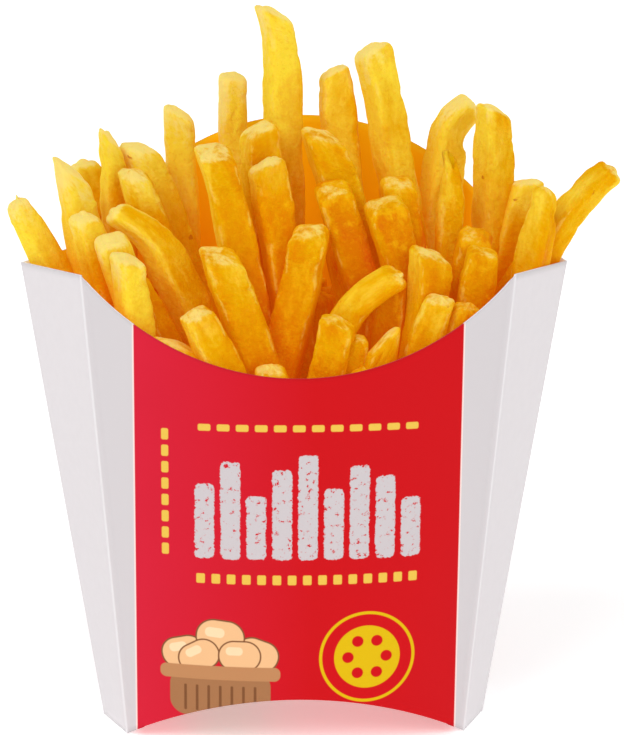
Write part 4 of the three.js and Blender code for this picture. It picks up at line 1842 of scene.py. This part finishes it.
def finished(name: str, bm: bmesh.types.BMesh) -> bpy.types.Object:
    """Turns a mesh in millimetres into an object in the row's frame.

    Args:
        name: the object's name.
        bm: its mesh, which is freed.

    Returns:
        The object, at the origin, unturned and unscaled.
    """
    bmesh.ops.scale(bm, vec=(METRE,) * 3, verts=bm.verts)
    bmesh.ops.translate(bm, vec=ORIGIN, verts=bm.verts)
    for face in bm.faces:
        face.smooth = True
    mesh = bpy.data.meshes.new(name)
    bm.to_mesh(mesh)
    bm.free()
    made = bpy.data.objects.new(name, mesh)
    bpy.context.scene.collection.objects.link(made)
    return made


def join_frame(piece: bpy.types.Object, node_name: str) -> None:
    """Joins a piece to the row's frame.

    Args:
        piece: the finished object.
        node_name: the solid that it stands for.
    """
    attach(piece, "root")
    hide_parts(node_name)
    LOG.info("%s: %d faces", piece.name, len(piece.data.polygons))


@dataclass
class Heap:
    """All the fries: the placed ones row by row, the short ones between them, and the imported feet."""

    shape: CartonShape
    finish: FriedPotato = FriedPotato()
    number: int = 0  # of the fry that was made last
    short_tone: float = 0.54
    short_spread: float = 0.12  # how much that varies
    short_place: tuple[float, float, float] = (3.7, 1.3, 0.9)  # in the noise that varies it

    def rows(self, name: str, fries: list[Fry], tones: tuple[float, ...], maker: FryMaker,
             crowd: Crowd) -> bpy.types.Object:
        """Builds one piece from several fries.

        Args:
            name: the piece's name.
            fries: the fries.
            tones: their colours.
            maker: makes their skin.
            crowd: all fries of the heap.

        Returns:
            The finished object.
        """
        bm = bmesh.new()
        for fry, tone in zip(fries, tones, strict=True):
            self.number += 1
            maker.add(bm, fry, self.number, tone, crowd)
        bmesh.ops.recalc_face_normals(bm, faces=bm.faces)
        return finished(name, bm)

    def build(self) -> list[bpy.types.Object]:
        """Builds and dresses every piece of the heap.

        Returns:
            The pieces.
        """
        maker = FryMaker(self.shape)
        # The short fries show little, so they have fewer faces.
        plain = FryMaker(self.shape, flat_steps=5, corner_steps=3, ring_step=1.4, deep_step=3.0)
        groups = {
            "fries_front": (fries_from(FRONT_ROWS), FRONT_TONES),
            "fries_middle": (fries_from(MIDDLE_ROWS), MIDDLE_TONES),
            "fries_back": (fries_from(BACK_ROWS), BACK_TONES),
            "fries_backing": (fries_from(BACKING_ROWS), BACKING_TONES),
        }
        placed = [fry for fries, _ in groups.values() for fry in fries]
        short = ShortFries(self.shape).fries(placed)
        step, *rest = self.short_place
        short_tones = tuple(
            self.short_tone + self.short_spread * noise.noise(Vector((i * step, *rest)))
            for i in range(len(short))
        )
        crowd = Crowd(placed + short)
        pieces = [self.rows(name, fries, tones, maker, crowd) for name, (fries, tones) in groups.items()]
        pieces.append(self.rows("fries_short", short, short_tones, plain, crowd))
        pieces.append(HeapCore(self.shape).build(plain))
        crust = self.finish.material()
        for piece in pieces:
            piece.data.materials.append(crust)
            join_frame(piece, "fries")
        return pieces


# ---- Camera, light and floor ----


@dataclass(frozen=True)
class Lamp:
    """A soft light from far away."""

    name: str
    azimuth: float  # degrees to the right of the carton's front
    elevation: float  # degrees up
    strength: float  # what a face turned to it receives
    spread: float  # how wide it looks from the carton, degrees

    def build(self) -> None:
        """Adds the light to the scene."""
        data = bpy.data.lights.new(self.name, "SUN")
        data.energy = self.strength
        data.angle = math.radians(self.spread)
        lamp = bpy.data.objects.new(self.name, data)
        lamp.rotation_mode = "QUATERNION"
        lamp.rotation_quaternion = toward(self.azimuth, self.elevation).to_track_quat("Z", "Y")
        bpy.context.scene.collection.objects.link(lamp)


@dataclass(frozen=True)
class Studio:
    """A pale floor, soft light from the upper left and a camera a little above the rim."""

    azimuth: float = -2.293  # of the camera, degrees to the right of the carton's front
    elevation: float = 11.087
    distance: float = 767.8
    target: tuple[float, float, float] = (4.561, 0.0, 94.745)
    roll: float = 0.232
    focal_pixels: float = 2912.9
    frame_height: int = 735
    sensor: float = 36.0
    far_clip: float = 50.0  # metres
    lamps: tuple[Lamp, ...] = (
        Lamp("key_light", -36, 42, 0.95, 34),
        Lamp("fill_light", 50, 25, 0.5, 60),
        Lamp("front_light", 2, 8, 0.34, 60),
    )
    floor_radius: float = 6.0  # metres
    floor_corners: int = 96
    world_white: str = "FFFFFF"
    world_strength: float = 0.56
    diffuse_bounces: int = 10

    def camera(self) -> None:
        """Makes the scene's camera."""
        back = toward(self.azimuth, self.elevation)
        right = (-back).cross(UP).normalized()
        up = right.cross(-back)
        turn = Matrix((right, up, back)).transposed() @ Matrix.Rotation(math.radians(self.roll), 3, "Z")
        data = bpy.data.cameras.new("camera")
        data.sensor_width = self.sensor
        data.lens = self.focal_pixels * self.sensor / self.frame_height
        data.clip_end = self.far_clip
        camera = bpy.data.objects.new("camera", data)
        place = ORIGIN + (Vector(self.target) + back * self.distance) * METRE
        camera.matrix_world = Matrix.Translation(place) @ turn.to_4x4()
        bpy.context.scene.collection.objects.link(camera)
        bpy.context.scene.camera = camera

    def floor(self) -> None:
        """Makes the pale floor."""
        bm = bmesh.new()
        bmesh.ops.create_circle(bm, cap_ends=True, segments=self.floor_corners, radius=self.floor_radius)
        mesh = bpy.data.meshes.new("floor")
        bm.to_mesh(mesh)
        bm.free()
        made = bpy.data.objects.new("floor", mesh)
        bpy.context.scene.collection.objects.link(made)
        made.data.materials.append(MattPaper().material())

    def build(self) -> None:
        """Makes the camera, the lights, the floor and the white surroundings."""
        self.camera()
        for lamp in self.lamps:
            lamp.build()
        self.floor()
        world = bpy.data.worlds.new("white_studio")
        world.use_nodes = True
        tree = world.node_tree
        plug(tree, tree.nodes["Background"], {
            "Color": linear(self.world_white), "Strength": self.world_strength,
        })
        bpy.context.scene.world = world
        bpy.context.scene.view_settings.view_transform = "Standard"
        # Light goes on from fry to fry many times, which warms the gaps; the crust's painted shade and
        # painted glow add to that orange.
        bpy.context.scene.cycles.diffuse_bounces = self.diffuse_bounces


def main() -> None:
    """Builds the scene piece by piece."""
    logging.basicConfig(level=logging.INFO, format="%(message)s")
    shape = CartonShape()
    Studio().build()
    board = Carton(shape).build()
    for finish in (CoatedBoard(), BoardInside(), CutBoard()):
        board.data.materials.append(finish.material(ORIGIN))
    join_frame(board, "carton")
    Heap(shape).build()


if __name__ == "__main__":
    main()
